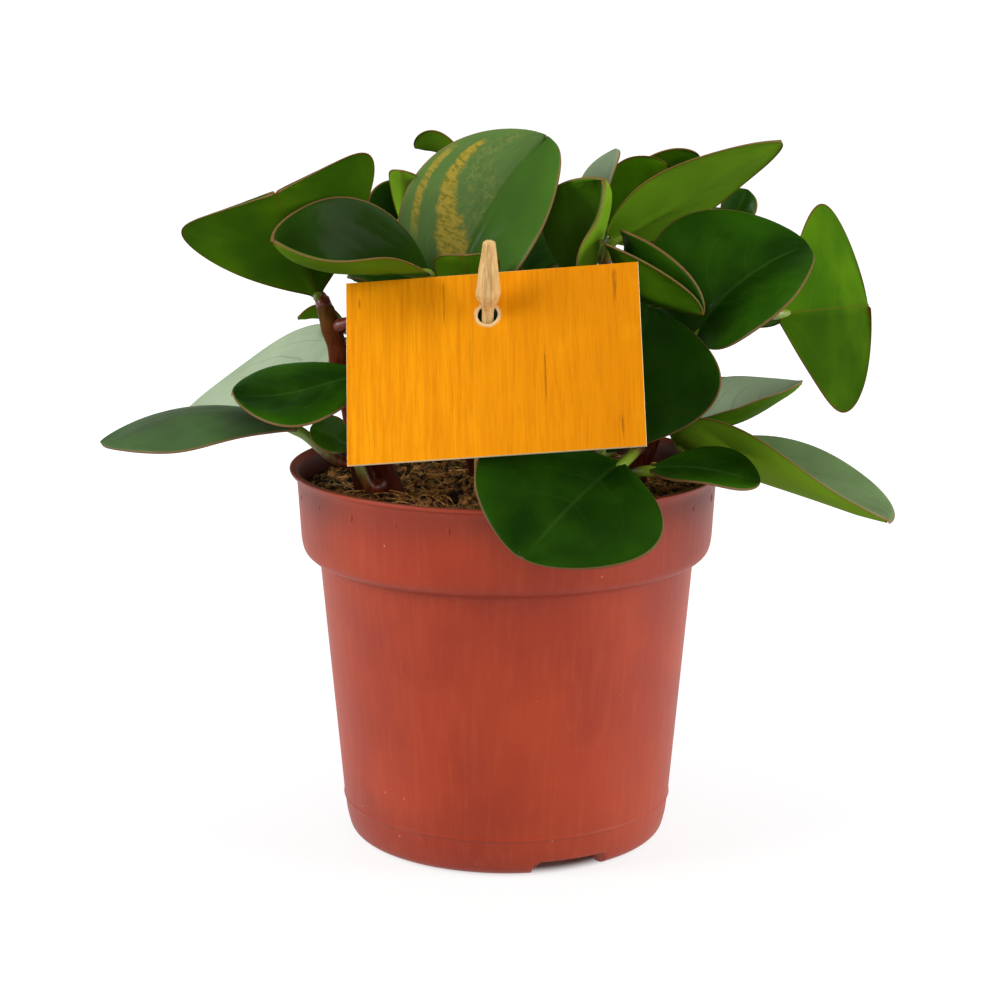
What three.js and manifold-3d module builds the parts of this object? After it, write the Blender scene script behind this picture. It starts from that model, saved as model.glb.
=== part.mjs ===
// A bushy peperomia in a round nursery pot, with a wood-print card held by a whittled stake.
// Millimetres, +Z up. The origin is on the pot's axis, at the level that the pot rests on,
// and -Y faces the viewer, on the side where the card leans.
import * as THREE from "three";
import { mergeVertices } from "three/addons/utils/BufferGeometryUtils.js";
import Module from "manifold-3d";

const wasm = await Module();
wasm.setup();

// Driving dimensions.
const POT_RIM_RADIUS = 60;
const POT_HEIGHT = 105;
const POT_WALL = 1.2;
const COLLAR_BOTTOM = 80.3;
const BODY_TOP_RADIUS = 52;
const BODY_FOOT_RADIUS = 45.7;
const FOOT_HEIGHT = 11.1;
const FLOOR_LEVEL = 3;
const DRAIN_COUNT = 6;
const DRAIN_RADIUS = 3.5;
const DRAIN_RING = 27;
const NOTCH_COUNT = 3;
const NOTCH_WIDTH = 20;
const NOTCH_HEIGHT = 3;
const NOTCH_TURN = THREE.MathUtils.degToRad(23.5);
const GAP = 0.3;
const SOIL_MIDDLE = 100.5;
const SOIL_EDGE = 98;
const BLADE_THICKNESS = 1.1;
const MARGIN_THICKNESS = 0.7;
const APEX_NOTCH = 1.4;
const CARD_WIDTH = 76;
const CARD_HEIGHT = 50.7;
const CARD_THICKNESS = 0.8;
const CARD_HOLE_RADIUS = 3;
const STAKE_RADIUS = 3;
const NECK_RADIUS = 1.6;

const part = new THREE.Group();

function paint(colour, roughness) {
  return new THREE.MeshStandardMaterial({ color: colour, roughness, metalness: 0 });
}

const terracottaPlastic = paint(0xb04c2e, 0.45);
const pottingSoil = paint(0x2a1c12, 0.95);
const stemSkin = paint(0x6e2d23, 0.5);
const leafGreen = paint(0x24501a, 0.35);
const woodPrintCard = paint(0xf09b14, 0.55);
const paleWood = paint(0xe1b97d, 0.7);

function addPiece(name, geometry, material) {
  const mesh = new THREE.Mesh(geometry, material);
  mesh.name = name;
  part.add(mesh);
  return mesh;
}

// ---- solids ----

function solidOf(geometry) {
  const bare = geometry.clone();
  bare.deleteAttribute("normal");
  bare.deleteAttribute("uv");
  const merged = mergeVertices(bare, 1e-4);
  const vertProperties = new Float32Array(merged.attributes.position.array);
  const triVerts = new Uint32Array(merged.index.array);
  return new wasm.Manifold(new wasm.Mesh({ numProp: 3, vertProperties, triVerts }));
}

function geometryOf(solid) {
  const mesh = solid.getMesh();
  const geometry = new THREE.BufferGeometry();
  geometry.setAttribute("position", new THREE.BufferAttribute(mesh.vertProperties, 3));
  geometry.setIndex(new THREE.BufferAttribute(mesh.triVerts, 1));
  return geometry;
}

function closedGeometry(points, faces) {
  const flat = points.flatMap((point) => [point.x, point.y, point.z]);
  const geometry = new THREE.BufferGeometry();
  geometry.setAttribute("position", new THREE.Float32BufferAttribute(flat, 3));
  geometry.setIndex(faces.flat());
  return geometry;
}

// A round bar along a list of points, with a radius at each of them and both ends closed.
function taperedBar(points, radii, sides) {
  const curve = new THREE.CatmullRomCurve3(points);
  const last = points.length - 1;
  const tangents = points.map((_, i) => curve.getTangent(i / last));
  let across = new THREE.Vector3(0.31, 0.95, 0.07).cross(tangents[0]).normalize();
  const ring = [];
  points.forEach((point, i) => {
    across = across.clone().addScaledVector(tangents[i], -across.dot(tangents[i])).normalize();
    const beside = tangents[i].clone().cross(across);
    for (let k = 0; k < sides; k++) {
      const turn = (2 * Math.PI * k) / sides;
      const spot = point.clone().addScaledVector(across, radii[i] * Math.cos(turn));
      ring.push(spot.addScaledVector(beside, radii[i] * Math.sin(turn)));
    }
  });
  const faces = [];
  for (let i = 0; i < last; i++) {
    for (let k = 0; k < sides; k++) {
      const a = i * sides + k;
      const b = i * sides + ((k + 1) % sides);
      faces.push([a, b, b + sides], [a, b + sides, a + sides]);
    }
  }
  for (let k = 1; k < sides - 1; k++) {
    faces.push([0, k + 1, k]);
    faces.push([last * sides, last * sides + k, last * sides + k + 1]);
  }
  return closedGeometry(ring, faces);
}

// A solid of revolution about Z, from [radius, height] pairs.
function turned(profile, segments) {
  const points = profile.map(([radius, height]) => new THREE.Vector2(radius, height));
  return new THREE.LatheGeometry(points, segments).rotateX(Math.PI / 2);
}

// ---- pot ----

// The outside of the wall, from the foot up to the lip.
const potOutside = [
  [40.5, 0],
  [42.8, 0.8],
  [44.5, 3],
  [45.3, 6.4],
  [BODY_FOOT_RADIUS, FOOT_HEIGHT - 0.6],
  [BODY_FOOT_RADIUS + 0.4, FOOT_HEIGHT],
  [BODY_FOOT_RADIUS + 0.2, FOOT_HEIGHT + 0.7],
  [BODY_TOP_RADIUS, COLLAR_BOTTOM],
  [53.9, COLLAR_BOTTOM + 0.4],
  [55.8, COLLAR_BOTTOM + 1.8],
  [56.9, COLLAR_BOTTOM + 4.4],
  [57.9, POT_HEIGHT - 3.4],
  [58.5, POT_HEIGHT - 1.8],
  [POT_RIM_RADIUS - 0.4, POT_HEIGHT - 1.1],
  [POT_RIM_RADIUS, POT_HEIGHT - 0.6],
  [POT_RIM_RADIUS - 0.1, POT_HEIGHT],
];

// The inside of the wall, from the lip down to the floor.
const potInside = [
  [58.4, POT_HEIGHT],
  [57.4, POT_HEIGHT - 1.4],
  [56.8, POT_HEIGHT - 3.4],
  [55.7, COLLAR_BOTTOM + 5],
  [54.7, COLLAR_BOTTOM + 2.9],
  [53.2, COLLAR_BOTTOM + 1.8],
  [BODY_TOP_RADIUS - POT_WALL, COLLAR_BOTTOM + 1],
  [BODY_FOOT_RADIUS - POT_WALL, FOOT_HEIGHT],
  [43.8, 7],
  [42.2, FLOOR_LEVEL + POT_WALL],
];

function makePot() {
  const underside = [
    [0, FLOOR_LEVEL],
    [37.6, FLOOR_LEVEL],
    [38.4, 0],
  ];
  const profile = [...underside, ...potOutside, ...potInside, [0, FLOOR_LEVEL + POT_WALL]];
  let solid = solidOf(turned(profile, 40));
  for (let i = 0; i < DRAIN_COUNT; i++) {
    const turn = (2 * Math.PI * (i + 0.5)) / DRAIN_COUNT;
    const drain = new THREE.CylinderGeometry(DRAIN_RADIUS, DRAIN_RADIUS, 8, 12);
    drain.rotateX(Math.PI / 2);
    drain.translate(DRAIN_RING * Math.cos(turn), DRAIN_RING * Math.sin(turn), FLOOR_LEVEL);
    solid = solid.subtract(solidOf(drain));
  }
  for (let i = 0; i < NOTCH_COUNT; i++) {
    const notch = new THREE.BoxGeometry(NOTCH_WIDTH, 12, 2 * NOTCH_HEIGHT);
    notch.translate(0, -41, 0);
    notch.rotateZ(NOTCH_TURN + (2 * Math.PI * i) / NOTCH_COUNT);
    solid = solid.subtract(solidOf(notch));
  }
  addPiece("pot", geometryOf(solid), terracottaPlastic);
}

// ---- stems ----

// Each stem is a cubic curve through these points, thick at the root and thinner at its top.
const stems = {
  left: { curve: [[-37, -12, 88], [-40, -13, 112], [-43, -12, 132], [-49, -8, 149]], radii: [3.2, 2.4] },
  lowLeft: { curve: [[-24, -18, 88], [-30, -20, 100], [-35, -22, 110], [-37, -24, 122]], radii: [3.2, 2.2] },
  middle: { curve: [[-4, -2, 88], [-10, -2, 115], [-16, -4, 140], [-18, -4, 164]], radii: [3.4, 2.2] },
  midRight: { curve: [[14, -6, 88], [18, -8, 115], [16, -6, 140], [22, -4, 162]], radii: [3.4, 2.2] },
  right: { curve: [[28, -16, 88], [34, -18, 104], [42, -14, 124], [48, -10, 143]], radii: [3.4, 2.2] },
  backLeft: { curve: [[-18, 22, 88], [-24, 22, 115], [-24, 18, 140], [-22, 16, 162]], radii: [3.2, 2.2] },
  backRight: { curve: [[18, 24, 88], [24, 22, 115], [32, 20, 140], [36, 16, 160]], radii: [3.2, 2.2] },
};

function stemCurve(stem) {
  return new THREE.CubicBezierCurve3(...stem.curve.map((point) => new THREE.Vector3(...point)));
}

function stemRadius(stem, at) {
  return THREE.MathUtils.lerp(stem.radii[0], stem.radii[1], at);
}

function makeStems() {
  const steps = 8;
  Object.values(stems).forEach((stem, index) => {
    const curve = stemCurve(stem);
    const points = [];
    const radii = [];
    for (let i = 0; i <= steps; i++) {
      points.push(curve.getPoint(i / steps));
      radii.push(stemRadius(stem, i / steps));
    }
    const tip = stem.radii[1];
    points.push(curve.getPoint(1).addScaledVector(curve.getTangent(1), 0.8 * tip));
    radii.push(0.5 * tip);
    addPiece(`stem_${index + 1}`, taperedBar(points, radii, 8), stemSkin);
  });
}

// ---- card and stake ----

// The card leans back on the leaves, turned a little and tilted a little.
const cardPose = new THREE.Matrix4()
  .makeRotationZ(THREE.MathUtils.degToRad(-8))
  .multiply(new THREE.Matrix4().makeRotationX(THREE.MathUtils.degToRad(-32)))
  .multiply(new THREE.Matrix4().makeRotationY(THREE.MathUtils.degToRad(-5.8)))
  .setPosition(-3.3, -50, 141.1);
const cardHole = new THREE.Vector2(-1.2, 13.6);
const stakeDirection = new THREE.Vector3(0.02, -0.3, 0.95).normalize();
const stakeRootLength = 66;

// [radius, height] along the stake, from its root to its head. The neck is at height 0.
const stakeProfile = [
  [0, -stakeRootLength],
  [1.2, -stakeRootLength],
  [STAKE_RADIUS, -stakeRootLength + 8],
  [STAKE_RADIUS, -7],
  [NECK_RADIUS, -4],
  [NECK_RADIUS, 1.6],
  [2.3, 3.9],
  [3.4, 6.4],
  [2.7, 13],
  [1.9, 20],
  [1.5, 20.6],
  [0, 20.6],
];

function stakeMatrix() {
  const neck = new THREE.Vector3(cardHole.x, 0, cardHole.y).applyMatrix4(cardPose);
  const turn = new THREE.Quaternion().setFromUnitVectors(new THREE.Vector3(0, 0, 1), stakeDirection);
  return new THREE.Matrix4().compose(neck, turn, new THREE.Vector3(1, 1, 1));
}

function makeCard() {
  const outline = new THREE.Shape();
  outline.moveTo(-CARD_WIDTH / 2, -CARD_HEIGHT / 2);
  outline.lineTo(CARD_WIDTH / 2, -CARD_HEIGHT / 2);
  outline.lineTo(CARD_WIDTH / 2, CARD_HEIGHT / 2);
  outline.lineTo(-CARD_WIDTH / 2, CARD_HEIGHT / 2);
  const hole = new THREE.Path().absarc(cardHole.x, cardHole.y, CARD_HOLE_RADIUS, 0, 2 * Math.PI, true);
  outline.holes.push(hole);
  const card = new THREE.ExtrudeGeometry(outline, {
    depth: CARD_THICKNESS,
    bevelEnabled: false,
    curveSegments: 8,
  });
  card.rotateX(Math.PI / 2);
  card.translate(0, CARD_THICKNESS / 2, 0);
  addPiece("card", card.applyMatrix4(cardPose), woodPrintCard);
}

function makeStake() {
  addPiece("stake", turned(stakeProfile, 8).applyMatrix4(stakeMatrix()), paleWood);
}

// ---- leaves ----

function leaf(stem, at, base, tip, face, width, shape = {}) {
  const plain = { bow: [2, 2], cup: [30, 30], fold: [8, 8], sway: 0, widest: 1.3, stalk: 1.6 };
  return { stem: stems[stem], at, base, tip, face, width, ...plain, ...shape };
}

// A leaf leaves its stem at a fraction of the stem's length. Its blade runs from base to tip,
// its upper side looks towards face, and width is measured across the flattened blade.
// bow lifts the midrib off its chord, sway bends it sideways, cup curls the left and right halves
// and fold raises them (degrees), and widest shifts the broadest place towards the tip.
const frontLeaves = [
  leaf("left", 1, [-51.2, -6.1, 152.6], [-59.3, -39.1, 183.7], [-0.36, 0.6, 0.7], 58,
    { bow: [-2, 0], widest: 1.9 }),
  leaf("left", 0.9, [-20.8, -22, 161.2], [-58.3, -53, 172.6], [0.38, 0.05, 0.92], 39,
    { bow: [-3, -6], cup: [45, 33], fold: [6, 44], sway: 4, widest: 0.8 }),
  leaf("middle", 0.84, [-15, -17.9, 151.7], [11, 2.1, 194.8], [0.1, -0.9, 0.4], 44,
    { bow: [2, 4], cup: [12, 15], fold: [0, 40], sway: -3, widest: 0.8 }),
  leaf("middle", 1, [-8, 18, 184], [-26, 26, 190], [0.1, 0.3, 0.9], 18),
  leaf("middle", 0.93, [-28, -2, 172], [-28, -12, 187], [0.3, 0.9, 0.3], 10),
  leaf("backLeft", 0.93, [-31, 8, 164], [-25, 8, 182], [0, -1, 0.1], 22),
  leaf("midRight", 0.75, [22.6, -11.2, 154], [25, -24.2, 185.4], [-0.83, -0.54, -0.17], 36.7,
    { bow: [2, -6], cup: [14, 18], fold: [20, 48], sway: -1, widest: 1.05 }),
  leaf("midRight", 1, [24, 0, 166], [30, 8, 191], [-0.9, -0.5, 0.1], 17, { cup: [20, 20] }),
  leaf("backRight", 0.98, [26, 14.6, 177.6], [54, 21, 187.2], [0, 0.4, 0.9], 22,
    { cup: [8, 8], fold: [2, 2] }),
  leaf("backRight", 0.92, [26, 8, 168], [44, 10, 187], [-0.3, 0.8, 0.4], 20, { cup: [8, 8], fold: [2, 2] }),
  leaf("midRight", 0.96, [28, -0.9, 167.4], [73.3, -10, 194.4], [-0.37, 0.49, 0.79], 31,
    { bow: [0, 2], cup: [-7, 19], fold: [0, 1], sway: -1.2, widest: 0.7 }),
  leaf("backRight", 0.86, [62, 20, 168], [67, 18, 179], [0, -0.9, 0.3], 10),
  leaf("right", 0.93, [50, -18.2, 142.8], [81.2, -10, 166.6], [-0.1, -0.89, 0.44], 51,
    { bow: [5, 3], cup: [18, 0], fold: [-12, 47], sway: -3.2, widest: 0.7 }),
  leaf("right", 1, [73.5, 3, 146], [104, 39, 143.5], [-0.82, 0.51, -0.19], 59.1,
    { bow: [-3, -3], cup: [8, 8], fold: [2, 2], widest: 1.4 }),
  leaf("midRight", 0.86, [29.3, -10.8, 159.4], [51.5, -35, 151.8], [0.08, -0.18, 0.97], 35.7,
    { bow: [-1.3, 0.6], cup: [67, -40], fold: [75, 74], sway: 5, widest: 0.7 }),
  leaf("right", 0.53, [25, -33.6, 114.6], [38, -22.6, 152.1], [0, -0.95, 0.2], 48.5, { cup: [10, 10] }),
  leaf("right", 0.7, [52.7, -7.5, 118.7], [81.7, 6, 127.1], [-0.07, -0.42, 0.91], 29,
    { bow: [-4, -2], cup: [22, 22], fold: [7, 42], sway: 2, widest: 0.8 }),
  leaf("right", 0.6, [48.4, -4.4, 111], [98.2, -53, 100.9], [0.02, -0.18, 0.98], 52.6,
    { bow: [-2, -2], cup: [12, 43], fold: [-3, 31], sway: -1.1, widest: 0.7 }),
  leaf("right", 0.34, [36.9, -39.6, 111.8], [65.8, -47.6, 109.3], [0, -0.3, 0.95], 25.6,
    { cup: [6, 20], fold: [0, 5] }),
  leaf("right", 0.46, [30, -45, 114.5], [4, -80, 97], [-0.1, -0.8, 0.7], 52, { bow: [3, 3], cup: [5, 5] }),
  leaf("right", 0.3, [17, -30, 104], [35, -40, 106], [0, -0.3, 0.9], 13,
    { bow: [0, 0], cup: [10, 10], fold: [0, 0] }),
  leaf("lowLeft", 1, [-36.4, -32.6, 135.4], [-71.4, -40.5, 131.6], [-0.06, -0.21, 0.98], 40,
    { bow: [0, -3], cup: [11, -7], fold: [-8, 5], widest: 1.3 }),
  leaf("lowLeft", 0.7, [-54.5, -28, 120.1], [-107, -34, 117.2], [0, -0.06, 1], 43.6,
    { bow: [7, 7], cup: [-15, -20], fold: [-3, -3] }),
  leaf("left", 0.75, [-46.3, 2, 139.1], [-91, 21.4, 116.1], [-0.52, -0.21, 0.83], 29,
    { bow: [-1, -1], cup: [0, 12], fold: [-12, 9], widest: 0.7 }),
  leaf("backLeft", 0.6, [-44, 8, 142], [-58, 6, 144.5], [0, 0.3, 1], 12),
  leaf("lowLeft", 0.5, [-41, -28, 115], [-52, -31, 121], [0, -0.9, 0.4], 10),
  leaf("middle", 0.7, [-9.5, -26.8, 151.8], [-11.5, -35.8, 167.4], [0, 0.4, 0.9], 18),
  leaf("midRight", 0.64, [-7.6, -8.2, 142.3], [-2.6, -6.2, 168.3], [-0.1, -1, 0.3], 19.3),
];

// The leaves that fill the sides and the back of the bush and the space behind the card.
const innerLeaves = [
  leaf("backLeft", 0.35, [-32, 26, 120], [-70, 58, 112], [-0.2, 0.3, 1], 44, { bow: [4, 5], cup: [10, 10] }),
  leaf("backLeft", 0.5, [-4, 34, 124], [-12, 84, 116], [0, 0.4, 1], 46, { bow: [5, 6], cup: [15, 15] }),
  leaf("backRight", 0.35, [32, 30, 118], [64, 66, 108], [0.2, 0.3, 1], 44, { bow: [4, 6], cup: [10, 10] }),
  leaf("backLeft", 0.66, [-34, 20, 136], [-54, 58, 126], [-0.3, 0.2, 1], 40, { bow: [2, 3], cup: [15, 15] }),
  leaf("backRight", 0.7, [42, 22, 140], [74, 50, 136], [0.3, 0.2, 1], 44, { bow: [3, 3], cup: [15, 15] }),
  leaf("backRight", 0.55, [6, 26, 148], [10, 76, 152], [0, -0.1, 1], 48, { bow: [4, 4], cup: [25, 25] }),
  leaf("backLeft", 1, [-20, 24, 164], [-34, 62, 172], [-0.1, -0.3, 1], 44, { bow: [2, 3], cup: [25, 25] }),
  leaf("backRight", 1, [38, 22, 162], [58, 56, 170], [0.1, -0.3, 1], 42, { bow: [2, 3], cup: [25, 25] }),
  leaf("middle", 0.95, [2.8, 8.3, 154.8], [12.6, 34.3, 173], [0, -0.7, 0.7], 34, { cup: [20, 20] }),
  leaf("middle", 0.62, [-25, -3.9, 147], [-43, -0.8, 157.8], [0, -0.2, 1], 28),
  leaf("midRight", 0.55, [28.3, 4, 142.1], [52.5, 8, 150.2], [0, -0.2, 1], 24.2),
  leaf("middle", 0.4, [-14, -14, 122], [-26, -34, 138], [0, 0.3, 1], 30),
];

// The frame of a leaf: e along its chord, n out of its upper side and s to its right.
function leafFrame(spec) {
  const base = new THREE.Vector3(...spec.base);
  const chord = new THREE.Vector3(...spec.tip).sub(base);
  const length = chord.length();
  const e = chord.divideScalar(length);
  const face = new THREE.Vector3(...spec.face);
  const n = face.addScaledVector(e, -face.dot(e)).normalize();
  const s = e.clone().cross(n);
  return { base, length, e, n, s };
}

// The point of a leaf's upper side at t along the midrib (0 to 1) and v across it (-1 to 1).
function bladePoint(spec, frame, t, v) {
  const { base, length, e, n, s } = frame;
  const [bow1, bow2] = spec.bow.map((lift) => 4 * lift);
  const rest = 1 - t;
  const lift = bow1 * t * rest * rest + bow2 * t * t * rest;
  const midrib = base.clone().addScaledVector(e, length * t).addScaledVector(n, lift);
  midrib.addScaledVector(s, 4 * spec.sway * t * rest);
  const slope = bow1 * (rest * rest - 2 * t * rest) + bow2 * (2 * t * rest - t * t);
  const along = e.clone().multiplyScalar(length).addScaledVector(n, slope);
  along.addScaledVector(s, 4 * spec.sway * (1 - 2 * t)).normalize();
  const across = s.clone().addScaledVector(along, -s.dot(along)).normalize();
  const up = across.clone().cross(along);
  const side = v < 0 ? 0 : 1;
  const halfWidth = (spec.width / 2) * Math.max(0, Math.sin(Math.PI * t ** spec.widest)) ** 0.62;
  const reach = Math.abs(v) * halfWidth;
  const fold = THREE.MathUtils.degToRad(spec.fold[side]);
  const curl = THREE.MathUtils.degToRad(spec.cup[side] + 0.01) / (spec.width / 2);
  const out = (Math.sin(fold + curl * reach) - Math.sin(fold)) / curl;
  const rise = (Math.cos(fold) - Math.cos(fold + curl * reach)) / curl;
  const nearTip = THREE.MathUtils.smoothstep(t, 0.85, 1);
  const dent = APEX_NOTCH * nearTip * Math.exp(-((reach / 2.6) ** 2));
  const point = midrib.addScaledVector(across, v < 0 ? -out : out);
  return point.addScaledVector(up, rise).addScaledVector(along, -dent);
}

function bladeNormal(spec, frame, t, v) {
  const d = 0.02;
  const inside = THREE.MathUtils.clamp(t, 2 * d, 1 - 2 * d);
  const level = THREE.MathUtils.clamp(v, d - 1, 1 - d);
  const forward = bladePoint(spec, frame, inside + d, level);
  forward.sub(bladePoint(spec, frame, inside - d, level));
  const sideways = bladePoint(spec, frame, inside, level + d);
  sideways.sub(bladePoint(spec, frame, inside, level - d));
  return sideways.cross(forward).normalize();
}

// The blade as a closed solid: rows across the leaf, with one vertex at its base and at its tip.
function bladeGeometry(spec, frame) {
  const rows = spec.width > 20 ? 7 : 5;
  const columns = spec.width > 20 ? 6 : 4;
  const top = [];
  const bottom = [];
  for (let i = 0; i <= rows; i++) {
    const t = (1 - Math.cos((Math.PI * i) / rows)) / 2;
    const ends = i === 0 || i === rows;
    for (let j = 0; j <= (ends ? 0 : columns); j++) {
      const v = ends ? 0 : (2 * j) / columns - 1;
      const thickness = ends
        ? MARGIN_THICKNESS
        : THREE.MathUtils.lerp(BLADE_THICKNESS, MARGIN_THICKNESS, v * v);
      const point = bladePoint(spec, frame, t, v);
      top.push(point);
      bottom.push(point.clone().addScaledVector(bladeNormal(spec, frame, t, v), -thickness));
    }
  }
  const below = top.length;
  const at = (i, j) => (i === 0 ? 0 : i === rows ? below - 1 : 1 + (i - 1) * (columns + 1) + j);
  const faces = [];
  const addFace = (a, b, c) => {
    if (a !== b && b !== c && c !== a) {
      faces.push([a, b, c], [below + a, below + c, below + b]);
    }
  };
  for (let i = 0; i < rows; i++) {
    for (let j = 0; j < columns; j++) {
      addFace(at(i, j), at(i, j + 1), at(i + 1, j + 1));
      addFace(at(i, j), at(i + 1, j + 1), at(i + 1, j));
    }
    const left = [at(i, 0), at(i + 1, 0)];
    const right = [at(i, columns), at(i + 1, columns)];
    faces.push([left[0], left[1], below + left[1]], [left[0], below + left[1], below + left[0]]);
    faces.push([right[0], below + right[0], below + right[1]], [right[0], below + right[1], right[1]]);
  }
  return closedGeometry([...top, ...bottom], faces);
}

// The leaf stalk starts just off its stem and runs on under the blade as the start of the midrib.
function stalkGeometry(spec, frame) {
  const curve = stemCurve(spec.stem);
  const centre = curve.getPoint(spec.at);
  const tangent = curve.getTangent(spec.at);
  const radius = stemRadius(spec.stem, spec.at);
  const away = new THREE.Vector3(...spec.base).sub(centre);
  away.addScaledVector(tangent, -away.dot(tangent)).normalize();
  const first = spec.at < 1 ? away : tangent;
  const start = centre.clone().addScaledVector(first, spec.at < 1 ? radius + 0.7 : 0.8 * radius + 1.1);
  const under = (t, depth) =>
    bladePoint(spec, frame, t, 0).addScaledVector(bladeNormal(spec, frame, t, 0), -depth);
  const join = under(0.02, 1);
  const heading = under(0.08, 1.2).sub(join).normalize();
  const reach = start.distanceTo(join);
  const path = new THREE.CubicBezierCurve3(
    start,
    start.clone().addScaledVector(first, 0.4 * reach),
    join.clone().addScaledVector(heading, -0.25 * reach),
    join,
  );
  const steps = 5;
  const points = [];
  const radii = [];
  for (let i = 0; i <= steps; i++) {
    points.push(path.getPoint(i / steps));
    radii.push(THREE.MathUtils.lerp(spec.stalk, 0.85 * spec.stalk, i / steps));
  }
  points.push(under(0.14, 1.1), under(0.26, 0.9), under(0.38, 0.55));
  radii.push(0.72 * spec.stalk, 0.5 * spec.stalk, 0.22);
  return taperedBar(points, radii, 5);
}

function makeLeaves() {
  [...frontLeaves, ...innerLeaves].forEach((spec, index) => {
    const frame = leafFrame(spec);
    const solid = solidOf(bladeGeometry(spec, frame)).add(solidOf(stalkGeometry(spec, frame)));
    addPiece(`leaf_${String(index + 1).padStart(2, "0")}`, geometryOf(solid), leafGreen);
  });
}

// ---- soil ----

// The soil fills the pot just clear of its wall, with a plain hole round every stem and the stake.
function makeSoil() {
  const wall = potInside.filter(([, height]) => height < SOIL_EDGE).reverse();
  const lowest = FLOOR_LEVEL + POT_WALL + GAP;
  const side = wall.map(([radius, height]) => [radius - 1.5 * GAP, Math.max(height, lowest)]);
  const profile = [
    [0, FLOOR_LEVEL + POT_WALL + GAP],
    ...side,
    [56.1 - 1.5 * GAP, SOIL_EDGE],
    [48, SOIL_EDGE + 0.9],
    [30, SOIL_MIDDLE - 0.7],
    [0, SOIL_MIDDLE],
  ];
  let solid = solidOf(turned(profile, 40));
  Object.values(stems).forEach((stem) => {
    const curve = stemCurve(stem);
    const reach = [-0.02, 0.15, 0.3, 0.45];
    const points = reach.map((at) => curve.getPoint(at));
    const radii = reach.map((at) => stemRadius(stem, at) + 1.6 * GAP);
    solid = solid.subtract(solidOf(taperedBar(points, radii, 10)));
  });
  const socket = turned(
    [
      [0, -stakeRootLength - GAP],
      [STAKE_RADIUS + 0.5, -stakeRootLength - GAP],
      [STAKE_RADIUS + 0.5, -20],
      [0, -20],
    ],
    8,
  );
  solid = solid.subtract(solidOf(socket.applyMatrix4(stakeMatrix())));
  addPiece("soil", geometryOf(solid), pottingSoil);
}

makePot();
makeSoil();
makeStems();
makeLeaves();
makeCard();
makeStake();

export default part;
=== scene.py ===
import math

import bpy
import numpy as np
from mathutils import Matrix, Vector, noise


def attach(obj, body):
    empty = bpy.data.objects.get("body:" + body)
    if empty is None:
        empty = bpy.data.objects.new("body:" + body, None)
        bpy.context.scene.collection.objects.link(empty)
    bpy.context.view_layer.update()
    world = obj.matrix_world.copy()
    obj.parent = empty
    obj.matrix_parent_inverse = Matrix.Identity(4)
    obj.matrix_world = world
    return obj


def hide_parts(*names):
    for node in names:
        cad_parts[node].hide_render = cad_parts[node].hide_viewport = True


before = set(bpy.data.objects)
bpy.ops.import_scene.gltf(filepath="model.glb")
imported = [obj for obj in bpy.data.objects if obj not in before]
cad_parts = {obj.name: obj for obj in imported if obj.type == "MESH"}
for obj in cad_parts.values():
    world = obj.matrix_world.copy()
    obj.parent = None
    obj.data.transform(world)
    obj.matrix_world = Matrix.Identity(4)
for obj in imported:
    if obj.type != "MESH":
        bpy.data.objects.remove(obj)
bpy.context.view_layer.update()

# A bushy peperomia in its nursery pot. Lengths in the dictionaries are millimetres, as on the
# real plant, and makeMesh turns them into metres. -Y faces the viewer and +Z is up.
millimetre = 0.001
scene = bpy.context.scene
scene.view_settings.view_transform = "Standard"

cameraPlace = {"distance": 700, "height": 248.5, "pitch": 12.41, "yaw": 0.149, "lens": 92.88}


def makeCamera(place):
    data = bpy.data.cameras.new("camera")
    data.lens = place["lens"]
    data.sensor_width = 36
    data.clip_start = 0.01
    camera = bpy.data.objects.new("camera", data)
    camera.location = (0, -place["distance"] * millimetre, place["height"] * millimetre)
    camera.rotation_euler = (math.radians(90 - place["pitch"]), 0, math.radians(place["yaw"]))
    scene.collection.objects.link(camera)
    scene.camera = camera


makeCamera(cameraPlace)


class Value:  # a socket that takes part in sums
    def __init__(self, tree, socket):
        self.tree = tree
        self.socket = socket

    def sum(self, operation, *others):
        return self.tree.add("ShaderNodeMath", {"operation": operation}, dict(enumerate(others)))

    def __add__(self, other):
        return self.sum("ADD", self, other)

    def __radd__(self, other):
        return self.sum("ADD", other, self)

    def __sub__(self, other):
        return self.sum("SUBTRACT", self, other)

    def __rsub__(self, other):
        return self.sum("SUBTRACT", other, self)

    def __mul__(self, other):
        return self.sum("MULTIPLY", self, other)

    def __rmul__(self, other):
        return self.sum("MULTIPLY", other, self)

    def __truediv__(self, other):
        return self.sum("DIVIDE", self, other)

    def __rtruediv__(self, other):
        return self.sum("DIVIDE", other, self)

    def __pow__(self, other):
        return self.sum("POWER", self, other)

    def __abs__(self):
        return self.sum("ABSOLUTE", self)

    def smallest(self, other):
        return self.sum("MINIMUM", self, other)

    def fraction(self):
        return self.sum("FRACT", self)

    def step(self, low, high):  # 0 below low, 1 above high and smooth between them
        settings = {"interpolation_type": "SMOOTHSTEP"}
        return self.tree.add("ShaderNodeMapRange", settings, {0: self, 1: low, 2: high})


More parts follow.
